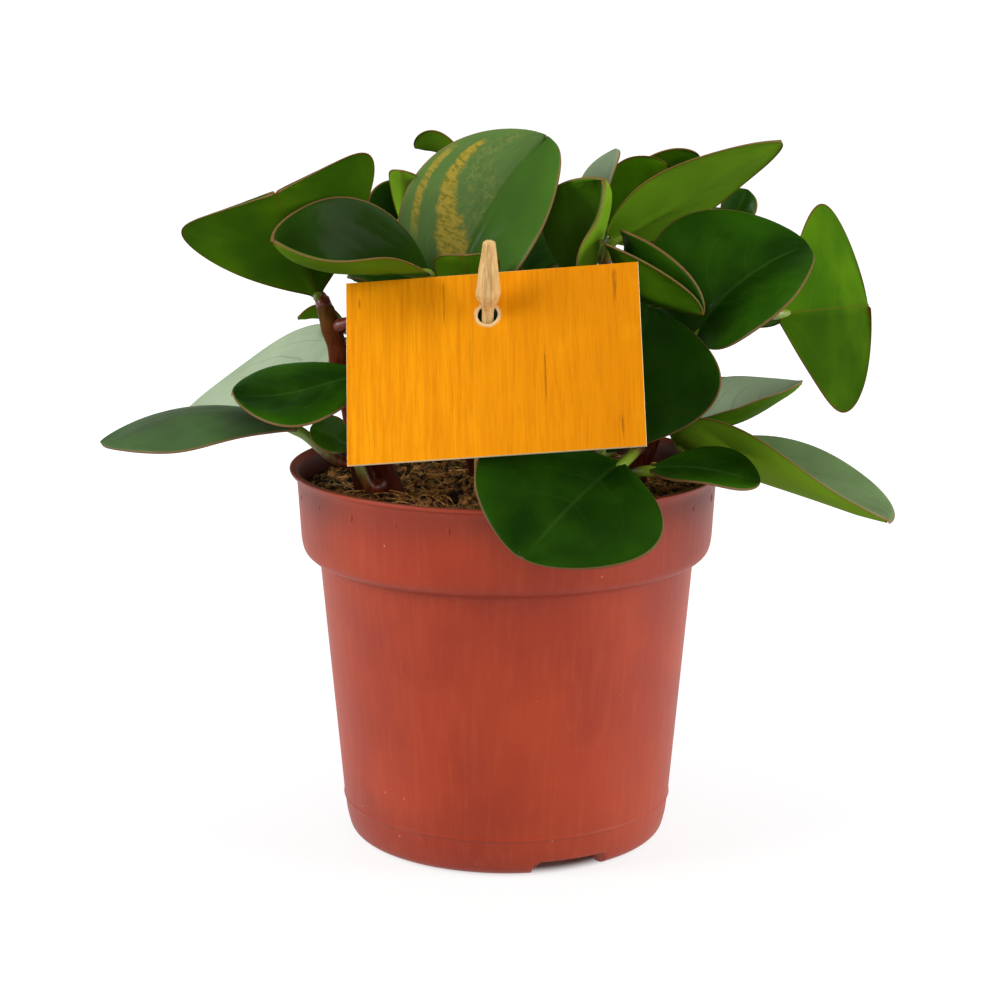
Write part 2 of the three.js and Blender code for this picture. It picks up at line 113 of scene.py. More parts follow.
class Tree:
    def __init__(self, tree):
        self.nodes = tree.nodes
        self.links = tree.links
        self.nodes.clear()

    def add(self, kind, settings=None, sockets=None, result=0):
        node = self.nodes.new(kind)
        for name, value in (settings or {}).items():
            setattr(node, name, value)
        for name, value in (sockets or {}).items():
            if isinstance(value, Value):
                self.links.new(value.socket, node.inputs[name])
            else:
                node.inputs[name].default_value = value
        return Value(self, node.outputs[result]) if node.outputs else node

    def blend(self, share, first, second):  # a colour from first, at 0, to second, at 1
        settings = {"data_type": "RGBA"}
        colours = {6: colour(first), 7: colour(second), 0: share}
        return self.add("ShaderNodeMix", settings, colours, 2)

    def stretched(self, vector, scale, turn=(0, 0, 0)):
        return self.add("ShaderNodeMapping", None, {0: vector, 2: turn, 3: scale})

    def grain(self, vector, size, detail=2.0, rough=0.5):  # noise whose lumps are size metres
        sockets = {"Vector": vector, "Scale": 1 / size, "Detail": detail, "Roughness": rough}
        return self.add("ShaderNodeTexNoise", None, sockets, 0)


def colour(value):  # a colour written as 8-bit red, green and blue becomes linear
    if isinstance(value, Value):
        return value
    return tuple(linear(channel / 255) for channel in value) + (1,)


def linear(level):
    return level / 12.92 if level <= 0.04045 else ((level + 0.055) / 1.055) ** 2.4


class Finish(Tree):  # a material with one Principled surface
    def __init__(self, name):
        self.material = bpy.data.materials.new(name)
        self.material.use_nodes = True
        super().__init__(self.material.node_tree)
        self.output = self.nodes.new("ShaderNodeOutputMaterial")
        self.surface = self.nodes.new("ShaderNodeBsdfPrincipled")
        self.links.new(self.surface.outputs[0], self.output.inputs[0])

    def place(self):
        return self.add("ShaderNodeTexCoord", result=3)

    def attribute(self, name, result=2):
        return self.add("ShaderNodeAttribute", {"attribute_name": name}, result=result)

    def parts(self, vector):
        first = self.add("ShaderNodeSeparateXYZ", None, {0: vector})
        outputs = first.socket.node.outputs
        return [Value(self, outputs[i]) for i in range(3)]

    def wear(self, **sockets):
        for name, value in sockets.items():
            socket = self.surface.inputs[name.replace("_", " ")]
            if isinstance(value, Value):
                self.links.new(value.socket, socket)
            else:
                socket.default_value = value
        return self.material

    def bump(self, height, depth, strength=1.0):  # depth is the full relief in metres
        sockets = {"Height": height, "Distance": depth, "Strength": strength}
        bumped = self.add("ShaderNodeBump", None, sockets)
        self.links.new(bumped.socket, self.surface.inputs["Normal"])


def makeMesh(name, points, faces, finishes, finishOf=None, values=None, smooth=True):
    # points in millimetres; faces as tuples; values are per-point numbers or vectors by name
    mesh = bpy.data.meshes.new(name)
    mesh.from_pydata((np.asarray(points) * millimetre).tolist(), [], faces)
    for finish in finishes:
        mesh.materials.append(finish)
    if finishOf is not None:
        mesh.polygons.foreach_set("material_index", finishOf)
    for label, data in (values or {}).items():
        data = np.asarray(data, np.float32)
        kind = ("FLOAT", "value") if data.ndim == 1 else ("FLOAT_VECTOR", "vector")
        layer = mesh.attributes.new(label, kind[0], "POINT")
        layer.data.foreach_set(kind[1], data.ravel())
    mesh.polygons.foreach_set("use_smooth", [smooth] * len(mesh.polygons))
    mesh.update()
    piece = bpy.data.objects.new(name, mesh)
    scene.collection.objects.link(piece)
    return piece


def loftFaces(rows, around, closed=True):
    # quads between rows of points; a closed loft ends in a fan to one more point at each end
    i, j = np.meshgrid(np.arange(rows - 1), np.arange(around), indexing="ij")
    a = (i * around + j).ravel()
    b = (i * around + (j + 1) % around).ravel()
    faces = np.stack([a, b, b + around, a + around], 1).tolist()
    if closed:
        j = np.arange(around)
        after = (j + 1) % around
        start = rows * around
        last = (rows - 1) * around
        faces += np.stack([np.full(around, start), after, j], 1).tolist()
        faces += np.stack([np.full(around, start + 1), last + j, last + after], 1).tolist()
    return faces


def turnedOut(points, faces):  # flips all the faces if the closed shape is inside out
    volume = 0.0
    for face in faces:
        a, b, c = (points[k] for k in face[:3])
        volume += np.dot(a, np.cross(b, c))
        if len(face) == 4:
            volume += np.dot(a, np.cross(c, points[face[3]]))
    return faces if volume > 0 else [face[::-1] for face in faces]


def unit(vectors):
    return vectors / np.maximum(np.linalg.norm(vectors, axis=-1, keepdims=True), 1e-9)


def bezier(corners, t):
    a, b, c, d = (np.asarray(corner, float) for corner in corners)
    t = np.asarray(t, float)[:, None]
    rest = 1 - t
    return a * rest ** 3 + 3 * b * t * rest ** 2 + 3 * c * t ** 2 * rest + d * t ** 3


def smoothstep(low, high, x):
    t = np.clip((x - low) / (high - low), 0, 1)
    return t * t * (3 - 2 * t)


def tubeRings(path, radii, sides, squash=1.0):
    # rings round a path, without twist
    tangents = unit(np.gradient(path, axis=0))
    across = unit(np.cross((0.31, 0.95, 0.07), tangents[0]))
    turns = np.linspace(0, 2 * np.pi, sides, endpoint=False)
    rings = []
    for point, tangent, radius in zip(path, tangents, radii):
        across = unit(across - np.dot(across, tangent) * tangent)
        beside = np.cross(tangent, across)
        ring = np.outer(np.cos(turns), across) + squash * np.outer(np.sin(turns), beside)
        rings.append(point + radius * ring)
    return np.array(rings)


def tubeMesh(path, radii, sides):
    rings = tubeRings(path, radii, sides)
    points = np.vstack([rings.reshape(-1, 3), path[:1], path[-1:]])
    return points, turnedOut(points, loftFaces(len(rings), sides))


def finished(piece, slot, *nodes):  # rides with the plant and stands for these nodes
    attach(piece, "root")
    if nodes:
        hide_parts(*nodes)
    return piece


def applied(piece):  # the piece with its modifiers made into plain mesh
    graph = bpy.context.evaluated_depsgraph_get()
    mesh = bpy.data.meshes.new_from_object(piece.evaluated_get(graph))
    piece.modifiers.clear()
    piece.data = mesh
    return piece


print("stage: helpers ready")

leafLook = {
    "upperDeep": (17, 49, 3),
    "upperFresh": (48, 94, 6),
    # painted sheen: pale reflection of the bright backdrop on upper sides seen at a slant
    "bloom": (172, 188, 158),
    "vein": (104, 138, 62),
    "underDeep": (36, 79, 3),
    "underPale": (74, 114, 8),
    "underRib": (96, 76, 24),
    "marginPale": (138, 98, 68),
    "marginRed": (104, 36, 18),
    # yellow-green of young leaves, also used as painted glow of light through backlit undersides
    "youngAndLitGreen": (122, 164, 36),
    # colour of the painted shade laid over one half of a blade or both
    "shade": (6, 22, 2),
    "veinCount": 3.7,
    "veinSlant": 0.3,       # how far a vein climbs on its way to the edge, and turns up there
    "veinTurn": 0.95,
    "mottleSize": 0.016,
    "poreSize": 0.0011,
    "relief": 0.0005,       # of the veins and pores, in metres
    "gloss": 0.2,
}


def leafPattern(finish):
    # leafPlace is (along, across, upper side) and leafMeasure is (mm to the edge, mm to the
    # midrib, youth, which also paints the glow of light through backlit blades). The veins leave
    # the midrib at a slant and turn up towards the edge.
    along, across, upper = finish.parts(finish.attribute("leafPlace", 1))
    edge, rib, youth = finish.parts(finish.attribute("leafMeasure", 1))
    side = abs(across)
    wobble = finish.grain(finish.place(), 0.012) - 0.5
    rise = leafLook["veinSlant"] * side + leafLook["veinTurn"] * side ** 4
    position = along - rise + 0.16 * wobble
    phase = ((position + 1.1) * leafLook["veinCount"]).fraction()
    gap = abs(phase - 0.5)
    vein = 1 - (0.5 - gap).step(0.0, 0.07)
    vein = vein * along.step(0.02, 0.2) * (1 - side.step(0.6, 0.95)) * (1 - along.step(0.5, 0.8))
    return along, side, upper, edge, rib, youth, position, vein


def leafFinish(name, bands=False):
    finish = Finish(name)
    along, side, upper, edge, rib, youth, position, vein = leafPattern(finish)
    place = finish.place()
    mottle = finish.grain(place, leafLook["mottleSize"], 4.0)
    fine = finish.grain(place, leafLook["poreSize"], 3.0, 0.6)
    midrib = (1 - rib.step(0.15, 0.8)) * (1 - along.step(0.75, 1.0))

    # the upper side: deep green, fresher in patches and near the edge, with a pale painted sheen
    # that stands for the reflection of the bright backdrop
    fresh = mottle.step(0.35, 0.75) * 0.5 + side.step(0.3, 1.0) * 0.35
    top = finish.blend(fresh, leafLook["upperDeep"], leafLook["upperFresh"])
    top = finish.blend(vein * 0.04 + fine * 0.04, top, leafLook["vein"])
    top = finish.blend(midrib * 0.1, top, leafLook["vein"])
    bloom = finish.attribute("leafPaintedSheen", 2) * (0.65 + 0.5 * mottle) * (1 - 0.25 * vein)
    top = finish.blend(bloom, top, leafLook["bloom"])
    if bands:
        top = bandColour(finish, top, position, along, side)

    # the underside, with its brownish midrib
    below = finish.blend(mottle.step(0.3, 0.8), leafLook["underDeep"], leafLook["underPale"])
    below = finish.blend((1 - along.step(0.0, 0.35)) * 0.6, below, leafLook["underPale"])
    below = finish.blend(vein * 0.12, below, leafLook["underPale"])
    below = finish.blend((1 - rib.step(0.1, 0.5)) * 0.45, below, leafLook["underRib"])

    # both sides: youth makes them yellower and also paints the glow of light through backlit
    # undersides; painted shade darkens one half or both
    top = finish.blend(youth * 0.15, top, leafLook["youngAndLitGreen"])
    below = finish.blend(youth * 0.9, below, leafLook["youngAndLitGreen"])
    both = finish.blend(upper.step(0.35, 0.65), below, top)
    # painted shade: darkens the halves given in the leaf table and thins their coat
    paintedShade = finish.attribute("leafPaintedShade", 2)
    both = finish.blend(paintedShade, both, leafLook["shade"])
    redEdge = (1 - edge.step(0.1, 0.5)) * (1 - upper.step(0.5, 0.8))
    both = finish.blend(redEdge * 0.65, both, leafLook["marginRed"])
    paleEdge = (1 - edge.step(0.05, 0.3)) * upper.step(0.1, 0.5)
    both = finish.blend(paleEdge * 0.6, both, leafLook["marginPale"])

    height = fine * 0.10 - vein * 0.1 * (upper * 2 - 1) - midrib * 0.15 * upper
    finish.bump(height, leafLook["relief"], 0.7)
    return finish.wear(
        Base_Color=both,
        Roughness=0.4 + mottle * 0.12 + (1 - upper) * 0.15,
        IOR=1.04,
        Coat_Weight=upper * (1 - 1.1 * paintedShade) * leafLook["gloss"],
        Coat_Roughness=0.24,
        Coat_IOR=1.45,
    )


bandLook = {
    "yellow": (186, 156, 54),
    "furrow": (124, 118, 40),
    "dull": (118, 128, 66),
    "wash": (106, 134, 74),
    "plain": (86, 124, 50),
    "main": (0.19, 0.1),    # middle and half width of each band, as shares of the blade's length
    "outer": (-0.36, 0.12),
    "inner": (0.5, 0.13),
}


def bandColour(finish, top, position, along, side):
    # ragged yellow bands between the veins on one half of the blade
    left = 1 - finish.parts(finish.attribute("leafPlace", 1))[1].step(-0.08, 0.0)

    def bladeNoise(length, width):  # lumps of these sizes, as shares of the blade
        sockets = {0: along / length, 1: side / width}
        sheet = finish.add("ShaderNodeCombineXYZ", None, sockets)
        return finish.grain(sheet, 1.0, 3.0, 0.6)

    ragged = bladeNoise(0.05, 0.1) - 0.5
    ridges = bladeNoise(0.018, 0.12)
    streaks = bladeNoise(0.2, 0.05)
    spots = finish.grain(finish.place(), 0.0016, 3.0, 0.7)

    def stripe(middle, half, soft):
        distance = abs(position + 0.17 * ragged - middle)
        return (1 - distance.step(half - soft, half + soft)) * (0.65 + 0.35 * ridges.step(0.3, 0.6))

    wash = (0.4 + 0.4 * streaks) * left * along.step(0.05, 0.3)
    top = finish.blend(wash, top, bandLook["wash"])
    top = finish.blend(0.4 * (1 - left), top, bandLook["plain"])
    main = stripe(*bandLook["main"], 0.04) * left * along.step(0.12, 0.2)
    main = main * (1 - along.step(0.74, 0.8))
    outer = stripe(*bandLook["outer"], 0.04) * left * along.step(0.2, 0.34)
    outer = outer * (1 - along.step(0.6, 0.72))
    inner = stripe(*bandLook["inner"], 0.08) * spots.step(0.46, 0.6) * left
    tone = finish.blend(ridges.step(0.4, 0.62), bandLook["yellow"], bandLook["furrow"])
    top = finish.blend(inner * 0.7, top, bandLook["dull"])
    top = finish.blend(outer * 0.75, top, tone)
    return finish.blend(main * 0.95, top, tone)


stalkLook = {
    "red": (122, 46, 26),
    "green": (116, 140, 32),
    "dark": (72, 26, 12),
}


def stalkFinish():
    finish = Finish("leafStalkSkin")
    along = finish.attribute("stalkPlace", 2)
    place = finish.place()
    streak = finish.grain(finish.stretched(place, (1, 1, 0.2)), 0.0012, 3.0)
    shade = finish.blend(streak.step(0.3, 0.7), stalkLook["dark"], stalkLook["red"])
    turn = (along + (streak - 0.5) * 0.5).step(0.25, 0.8)
    shade = finish.blend(turn, shade, stalkLook["green"])
    finish.bump(streak, 0.0002, 0.5)
    return finish.wear(Base_Color=shade, Roughness=0.38, Coat_Weight=0.15, Coat_Roughness=0.3)


stemLook = {
    "streakDark": (50, 13, 5),
    "streakRed": (102, 33, 15),
    "green": (96, 96, 30),
    "earth": (70, 48, 34),
}


def stemFinish():
    finish = Finish("stemSkin")
    place = finish.place()
    streak = finish.grain(finish.stretched(place, (1, 1, 0.12)), 0.0011, 4.0)
    mottle = finish.grain(place, 0.009, 3.0)
    height = finish.parts(place)[2]
    shade = finish.blend(streak.step(0.25, 0.75), stemLook["streakDark"], stemLook["streakRed"])
    greener = (height + (mottle - 0.5) * 0.05).step(0.125, 0.165)
    shade = finish.blend(greener * 0.35, shade, stemLook["green"])
    shade = finish.blend((1 - height.step(0.100, 0.112)) * 0.5, shade, stemLook["earth"])
    finish.bump(streak * 0.7 + mottle * 0.3, 0.0004, 0.6)
    return finish.wear(Base_Color=shade, Roughness=0.45, IOR=1.12)


stemShape = {
    "steps": 40,
    "sides": 24,
    "nodeSwell": 0.168,     # share by which a stem is thicker where a leaf leaves it
    "nodeLength": 2.6,
    "unevenness": 0.00025,
}

stems = {
    "left": {
        "curve": [(-37, -12, 88), (-40, -13, 112), (-43, -12, 132), (-49, -8, 149)],
        "radii": (3.2, 2.4),
    },
    "lowLeft": {
        "curve": [(-24, -18, 88), (-30, -20, 100), (-35, -22, 110), (-37, -24, 122)],
        "radii": (3.2, 2.2),
    },
    "middle": {
        "curve": [(-4, -2, 88), (-10, -2, 115), (-16, -4, 140), (-18, -4, 164)],
        "radii": (3.4, 2.2),
    },
    "midRight": {
        "curve": [(14, -6, 88), (18, -8, 115), (16, -6, 140), (22, -4, 162)],
        "radii": (3.4, 2.2),
    },
    "right": {
        "curve": [(28, -16, 88), (34, -18, 104), (42, -14, 124), (48, -10, 143)],
        "radii": (3.4, 2.2),
    },
    "backLeft": {
        "curve": [(-18, 22, 88), (-24, 22, 115), (-24, 18, 140), (-22, 16, 162)],
        "radii": (3.2, 2.2),
    },
    "backRight": {
        "curve": [(18, 24, 88), (24, 22, 115), (32, 20, 140), (36, 16, 160)],
        "radii": (3.2, 2.2),
    },
}


def stemAt(stem, t):
    point = bezier(stem["curve"], [t])[0]
    ahead = bezier(stem["curve"], [min(t + 0.01, 1)])[0]
    behind = bezier(stem["curve"], [max(t - 0.01, 0)])[0]
    thick, thin = stem["radii"]
    return point, unit(ahead - behind), thick + (thin - thick) * t


def leaf(stem, at, base, tip, face, width, **shape):
    plain = {
        "bow": (2, 2), "cup": (30, 30), "fold": (8, 8), "sway": 0, "widest": 1.3,
        "stalk": 1.6, "youth": 0.0, "bloom": 0.0, "shade": (0, 0),
    }
    given = {"stem": stem, "at": at, "base": base, "tip": tip, "face": face, "width": width}
    return {**plain, **given, **shape}


# Each leaf leaves its stem at a share of the stem's length and runs from base to tip, with its
# upper side towards face. bow lifts the midrib, sway bends it sideways, cup curls the two halves
# and fold raises them (degrees), and widest moves the broadest place towards the tip. Youth yellows
# a leaf and also paints the glow of light through backlit blades, a painted pale sheen stands for
# reflected light on the upper side, and the two shade numbers paint shade on either half.
leaves = [
    leaf("left", 1, (-51.2, -6.1, 152.6), (-59.3, -39.1, 183.7), (-0.36, 0.6, 0.7), 58,
         bow=(-2, 0), widest=1.9, youth=0.15, shade=(0.35, 0)),
    leaf("left", 0.9, (-20.8, -22, 161.2), (-58.3, -53, 172.6), (0.38, 0.05, 0.92), 39,
         bow=(-3, -6), cup=(45, 33), fold=(6, 44), sway=4, widest=0.8, youth=0.5,
         shade=(0, 0.6)),
    leaf("middle", 0.84, (-15, -17.9, 151.7), (11, 2.1, 194.8), (0.1, -0.9, 0.4), 44,
         bow=(2, 4), cup=(12, 15), fold=(0, 40), sway=-3, widest=0.8),
    leaf("middle", 1, (-8, 18, 184), (-26, 26, 190), (0.1, 0.3, 0.9), 18, youth=0.35),
    leaf("middle", 0.93, (-28, -2, 172), (-28, -12, 187), (0.3, 0.9, 0.3), 10, youth=0.7),
    leaf("backLeft", 0.93, (-31, 8, 164), (-25, 8, 182), (0, -1, 0.1), 22),
    leaf("midRight", 0.75, (22.6, -11.2, 154), (25, -24.2, 185.4), (-0.83, -0.54, -0.17), 36.7,
         bow=(2, -6), cup=(14, 18), fold=(20, 48), sway=-1, widest=1.05, youth=0.8),
    leaf("midRight", 1, (24, 0, 166), (30, 8, 191), (-0.9, -0.5, 0.1), 17,
         cup=(20, 20), bloom=0.5),
    leaf("backRight", 0.98, (26, 14.6, 177.6), (54, 21, 187.2), (0, 0.4, 0.9), 22,
         cup=(8, 8), fold=(2, 2)),
    leaf("backRight", 0.92, (26, 8, 168), (44, 10, 187), (-0.3, 0.8, 0.4), 20,
         cup=(8, 8), fold=(2, 2)),
    leaf("midRight", 0.96, (28, -0.9, 167.4), (73.3, -10, 194.4), (-0.37, 0.49, 0.79), 31,
         bow=(0, 2), cup=(-7, 19), fold=(0, 1), sway=-1.2, widest=0.7, youth=0.6),
    leaf("backRight", 0.86, (62, 20, 168), (67, 18, 179), (0, -0.9, 0.3), 10),
    leaf("right", 0.93, (50, -18.2, 142.8), (81.2, -10, 166.6), (-0.1, -0.89, 0.44), 51,
         bow=(5, 3), cup=(18, 0), fold=(-12, 47), sway=-3.2, widest=0.7),
    leaf("right", 1, (73.5, 3, 146), (104, 39, 143.5), (-0.82, 0.51, -0.19), 59.1,
         bow=(-3, -3), cup=(8, 8), fold=(2, 2), widest=1.4, youth=0.15, shade=(0.4, 0)),
    leaf("midRight", 0.86, (29.3, -10.8, 159.4), (51.5, -35, 151.8), (0.08, -0.18, 0.97), 35.7,
         bow=(-1.3, 0.6), cup=(67, -40), fold=(75, 74), sway=5, widest=0.7, youth=0.15),
    leaf("right", 0.53, (25, -33.6, 114.6), (38, -22.6, 152.1), (0, -0.95, 0.2), 48.5,
         cup=(10, 10), shade=(0.55, 0.55)),
    leaf("right", 0.7, (52.7, -7.5, 118.7), (81.7, 6, 127.1), (-0.07, -0.42, 0.91), 29,
         bow=(-4, -2), cup=(22, 22), fold=(7, 42), sway=2, widest=0.8, bloom=0.7,
         youth=0.4),
    leaf("right", 0.6, (48.4, -4.4, 111), (98.2, -53, 100.9), (0.02, -0.18, 0.98), 52.6,
         bow=(-2, -2), cup=(12, 43), fold=(-3, 31), sway=-1.1, widest=0.7, bloom=0.33,
         youth=1.0),
    leaf("right", 0.34, (36.9, -39.6, 111.8), (65.8, -47.6, 109.3), (0, -0.3, 0.95), 25.6,
         cup=(6, 20), fold=(0, 5)),
    leaf("right", 0.46, (30, -45, 114.5), (4, -80, 97), (-0.1, -0.8, 0.7), 52,
         bow=(3, 3), cup=(5, 5), shade=(0.35, 0.35)),
    leaf("right", 0.3, (17, -30, 104), (35, -40, 106), (0, -0.3, 0.9), 13,
         bow=(0, 0), cup=(10, 10), fold=(0, 0)),
    leaf("lowLeft", 1, (-36.4, -32.6, 135.4), (-71.4, -40.5, 131.6), (-0.06, -0.21, 0.98), 40,
         bow=(0, -3), cup=(11, -7), fold=(-8, 5), widest=1.3),
    leaf("lowLeft", 0.7, (-54.5, -28, 120.1), (-107, -34, 117.2), (0, -0.06, 1), 43.6,
         bow=(7, 7), cup=(-15, -20), fold=(-3, -3), bloom=0.12),
    leaf("left", 0.75, (-46.3, 2, 139.1), (-91, 21.4, 116.1), (-0.52, -0.21, 0.83), 29,
         bow=(-1, -1), cup=(0, 12), fold=(-12, 9), widest=0.7, bloom=0.86),
    leaf("backLeft", 0.6, (-44, 8, 142), (-58, 6, 144.5), (0, 0.3, 1), 12, youth=0.5),
    leaf("lowLeft", 0.5, (-41, -28, 115), (-52, -31, 121), (0, -0.9, 0.4), 10, youth=0.3),
    leaf("middle", 0.7, (-9.5, -26.8, 151.8), (-11.5, -35.8, 167.4), (0, 0.4, 0.9), 18, youth=0.2),
    leaf("midRight", 0.64, (-7.6, -8.2, 142.3), (-2.6, -6.2, 168.3), (-0.1, -1, 0.3), 19.3),
    # the sides and the back of the bush, and the space behind the card
    leaf("backLeft", 0.35, (-32, 26, 120), (-70, 58, 112), (-0.2, 0.3, 1), 44,
         bow=(4, 5), cup=(10, 10)),
    leaf("backLeft", 0.5, (-4, 34, 124), (-12, 84, 116), (0, 0.4, 1), 46, bow=(5, 6), cup=(15, 15)),
    leaf("backRight", 0.35, (32, 30, 118), (64, 66, 108), (0.2, 0.3, 1), 44,
         bow=(4, 6), cup=(10, 10)),
    leaf("backLeft", 0.66, (-34, 20, 136), (-54, 58, 126), (-0.3, 0.2, 1), 40,
         bow=(2, 3), cup=(15, 15)),
    leaf("backRight", 0.7, (42, 22, 140), (74, 50, 136), (0.3, 0.2, 1), 44,
         bow=(3, 3), cup=(15, 15)),
    leaf("backRight", 0.55, (6, 26, 148), (10, 76, 152), (0, -0.1, 1), 48,
         bow=(4, 4), cup=(25, 25)),
    leaf("backLeft", 1, (-20, 24, 164), (-34, 62, 172), (-0.1, -0.3, 1), 44,
         bow=(2, 3), cup=(25, 25)),
    leaf("backRight", 1, (38, 22, 162), (58, 56, 170), (0.1, -0.3, 1), 42,
         bow=(2, 3), cup=(25, 25)),
    leaf("middle", 0.95, (2.8, 8.3, 154.8), (12.6, 34.3, 173), (0, -0.7, 0.7), 34, cup=(20, 20)),
    leaf("middle", 0.62, (-25, -3.9, 147), (-43, -0.8, 157.8), (0, -0.2, 1), 28),
    leaf("midRight", 0.55, (28.3, 4, 142.1), (52.5, 8, 150.2), (0, -0.2, 1), 24.2),
    leaf("middle", 0.4, (-14, -14, 122), (-26, -34, 138), (0, 0.3, 1), 30),
]

bandedNumber = 3  # the leaf with yellow bands

bladeShape = {
    "rows": 52,
    "columns": 34,
    "smallRows": 30,
    "smallColumns": 22,
    "small": 20,            # a leaf narrower than this is a small one
    "middle": 1.1,          # thickness at the midrib and at the margin
    "margin": 0.48,
    "exponent": 0.62,       # of the outline: 1 is pointed, 0.5 round
    "apexNotch": 0.25,
    "apexNotchReach": 4.0,
    "swell": 0.34,          # height of the fields between the veins
    "ribHeight": 0.9,       # of the midrib under the blade
    "ribWidth": 1.5,
    "turnDown": 0.5,        # how far the margin turns down
    "ripple": 0.5,          # waves of the whole blade
    "stalkSides": 16,
}


def bladePoints(spec, t, v):
    # points of the upper side, and the blade's half width there
    base = np.array(spec["base"], float)
    chord = np.array(spec["tip"], float) - base
    length = np.linalg.norm(chord)
    e = chord / length
    face = np.array(spec["face"], float)
    n = unit(face - face.dot(e) * e)
    s = np.cross(e, n)
    lift1, lift2 = (4 * lift for lift in spec["bow"])
    sway = spec["sway"]
    rest = 1 - t
    midrib = base + np.multiply.outer(length * t, e)
    midrib = midrib + np.multiply.outer(lift1 * t * rest ** 2 + lift2 * t ** 2 * rest, n)
    midrib = midrib + np.multiply.outer(4 * sway * t * rest, s)
    slope = lift1 * (rest ** 2 - 2 * t * rest) + lift2 * (2 * t * rest - t ** 2)
    along = length * e + np.multiply.outer(slope, n) + np.multiply.outer(4 * sway * (1 - 2 * t), s)
    along = unit(along)
    across = unit(s - (along @ s)[..., None] * along)
    up = np.cross(across, along)
    outline = np.maximum(0, np.sin(np.pi * t ** spec["widest"])) ** bladeShape["exponent"]
    half = spec["width"] / 2 * outline
    reach = np.abs(v) * half
    fold = np.radians(np.where(v < 0, *spec["fold"]))
    curl = np.radians(np.where(v < 0, *spec["cup"]) + 0.01) / (spec["width"] / 2)
    out = (np.sin(fold + curl * reach) - np.sin(fold)) / curl
    rise = (np.cos(fold) - np.cos(fold + curl * reach)) / curl
    dent = np.exp(-((reach / bladeShape["apexNotchReach"]) ** 2))
    dent = bladeShape["apexNotch"] * smoothstep(0.85, 1, t) * dent
    points = midrib + (np.sign(v) * out)[..., None] * across
    points = points + rise[..., None] * up - dent[..., None] * along
    return points, half


def bladeNormals(spec, t, v):
    d = 0.02
    t = np.clip(t, 2 * d, 1 - 2 * d)
    v = np.clip(v, d - 1, 1 - d)
    forward = bladePoints(spec, t + d, v)[0] - bladePoints(spec, t - d, v)[0]
    sideways = bladePoints(spec, t, v + d)[0] - bladePoints(spec, t, v - d)[0]
    return unit(np.cross(sideways, forward))


def bladeMesh(spec, seed):
    # one closed blade, with rows from the base to the apex and columns from edge to edge
    shape = bladeShape
    small = spec["width"] <= shape["small"]
    rows = shape["smallRows"] if small else shape["rows"]
    columns = shape["smallColumns"] if small else shape["columns"]
    rng = np.random.default_rng(seed)
    rowAt = (1 - np.cos(np.pi * np.arange(1, rows) / rows)) / 2
    columnAt = np.sin(np.pi / 2 * np.linspace(-1, 1, columns + 1))
    t, v = np.meshgrid(rowAt, columnAt, indexing="ij")
    surface, half = bladePoints(spec, t, v)
    normal = bladeNormals(spec, t, v)
    side = np.abs(v)

    position = t - leafLook["veinSlant"] * side - leafLook["veinTurn"] * side ** 4
    fromVein = np.abs((position + 1.1) * leafLook["veinCount"] % 1 - 0.5) * 2
    scale = min(1, spec["width"] / 40)
    swell = shape["swell"] * scale * (1 - fromVein ** 4)
    swell = swell * smoothstep(0.03, 0.25, t) * (1 - side ** 6)
    swell = swell * (1 - np.exp(-((side / 0.12) ** 2)))
    phase = rng.uniform(0, 2 * np.pi, 4)
    ripple = np.sin(4.3 * t + phase[0] + 1.7 * v) * np.sin(2.9 * v + phase[1])
    ripple = ripple + 0.35 * np.sin(11 * t + phase[2]) * side ** 3 * np.sign(v + 0.01)
    lift = swell + shape["ripple"] * scale * ripple * smoothstep(0, 0.2, t)
    lift = lift - shape["turnDown"] * scale * side ** 14
    surface = surface + lift[..., None] * normal

    reach = side * half
    thick = shape["middle"] + (shape["margin"] - shape["middle"]) * side ** 2
    thick = thick * np.minimum(1, 0.55 + 3 * np.minimum(t, 1 - t))
    rib = shape["ribHeight"] * spec["stalk"] / 1.6 * (1 - smoothstep(0.1, 0.75, t))
    below = thick + rib * np.exp(-((reach / (shape["ribWidth"] * (1 - 0.4 * t))) ** 2))
    under = surface - below[..., None] * normal

    outward = unit(surface[:, 1:] - surface[:, :-1])
    rims = []
    for edge, sign in ((-1, 1), (0, -1)):
        heading = sign * outward[:, edge]
        middle = (surface[:, edge] + under[:, edge]) / 2
        radius = thick[:, edge][:, None] / 2
        arc = np.pi * (np.arange(1, 4) / 4)
        rims.append([
            middle + radius * (math.sin(a) * heading + math.cos(a) * normal[:, edge]) for a in arc
        ])
    right = np.stack(rims[0], 1)
    left = np.stack(rims[1][::-1], 1)
    loops = np.concatenate([surface, right, under[:, ::-1], left], 1)
    around = loops.shape[1]

    ends = []
    for end in (0.0, 1.0):
        point = bladePoints(spec, np.array([end]), np.array([0.0]))[0][0]
        up = bladeNormals(spec, np.array([end]), np.array([0.0]))[0]
        ends.append(point - 0.3 * up)
    points = np.vstack([loops.reshape(-1, 3), ends])
    faces = turnedOut(points, loftFaces(len(loops), around))

    rim = np.array([0.75, 0.5, 0.25])
    upper = np.concatenate([np.ones(columns + 1), rim, np.zeros(columns + 1), rim[::-1]])
    across = np.concatenate([columnAt, (1, 1, 1), columnAt[::-1], (-1, -1, -1)])
    length = np.linalg.norm(np.array(spec["tip"], float) - np.array(spec["base"], float))
    edge = (1 - np.abs(across)) * half[:, :1]
    edge = np.minimum(edge, (1 - rowAt[:, None]) * length)
    ribDistance = np.abs(across) * half[:, :1]
    youth = np.full_like(edge, spec["youth"])
    place = np.stack(np.broadcast_arrays(rowAt[:, None], across, upper), -1).reshape(-1, 3)
    measure = np.stack([edge, ribDistance, youth], -1).reshape(-1, 3)
    place = np.vstack([place, (0, 0, 0.5), (1, 0, 0.5)])
    measure = np.vstack([measure, (2, 0, spec["youth"]), (0, 0, spec["youth"])])
    return points, faces, place, measure


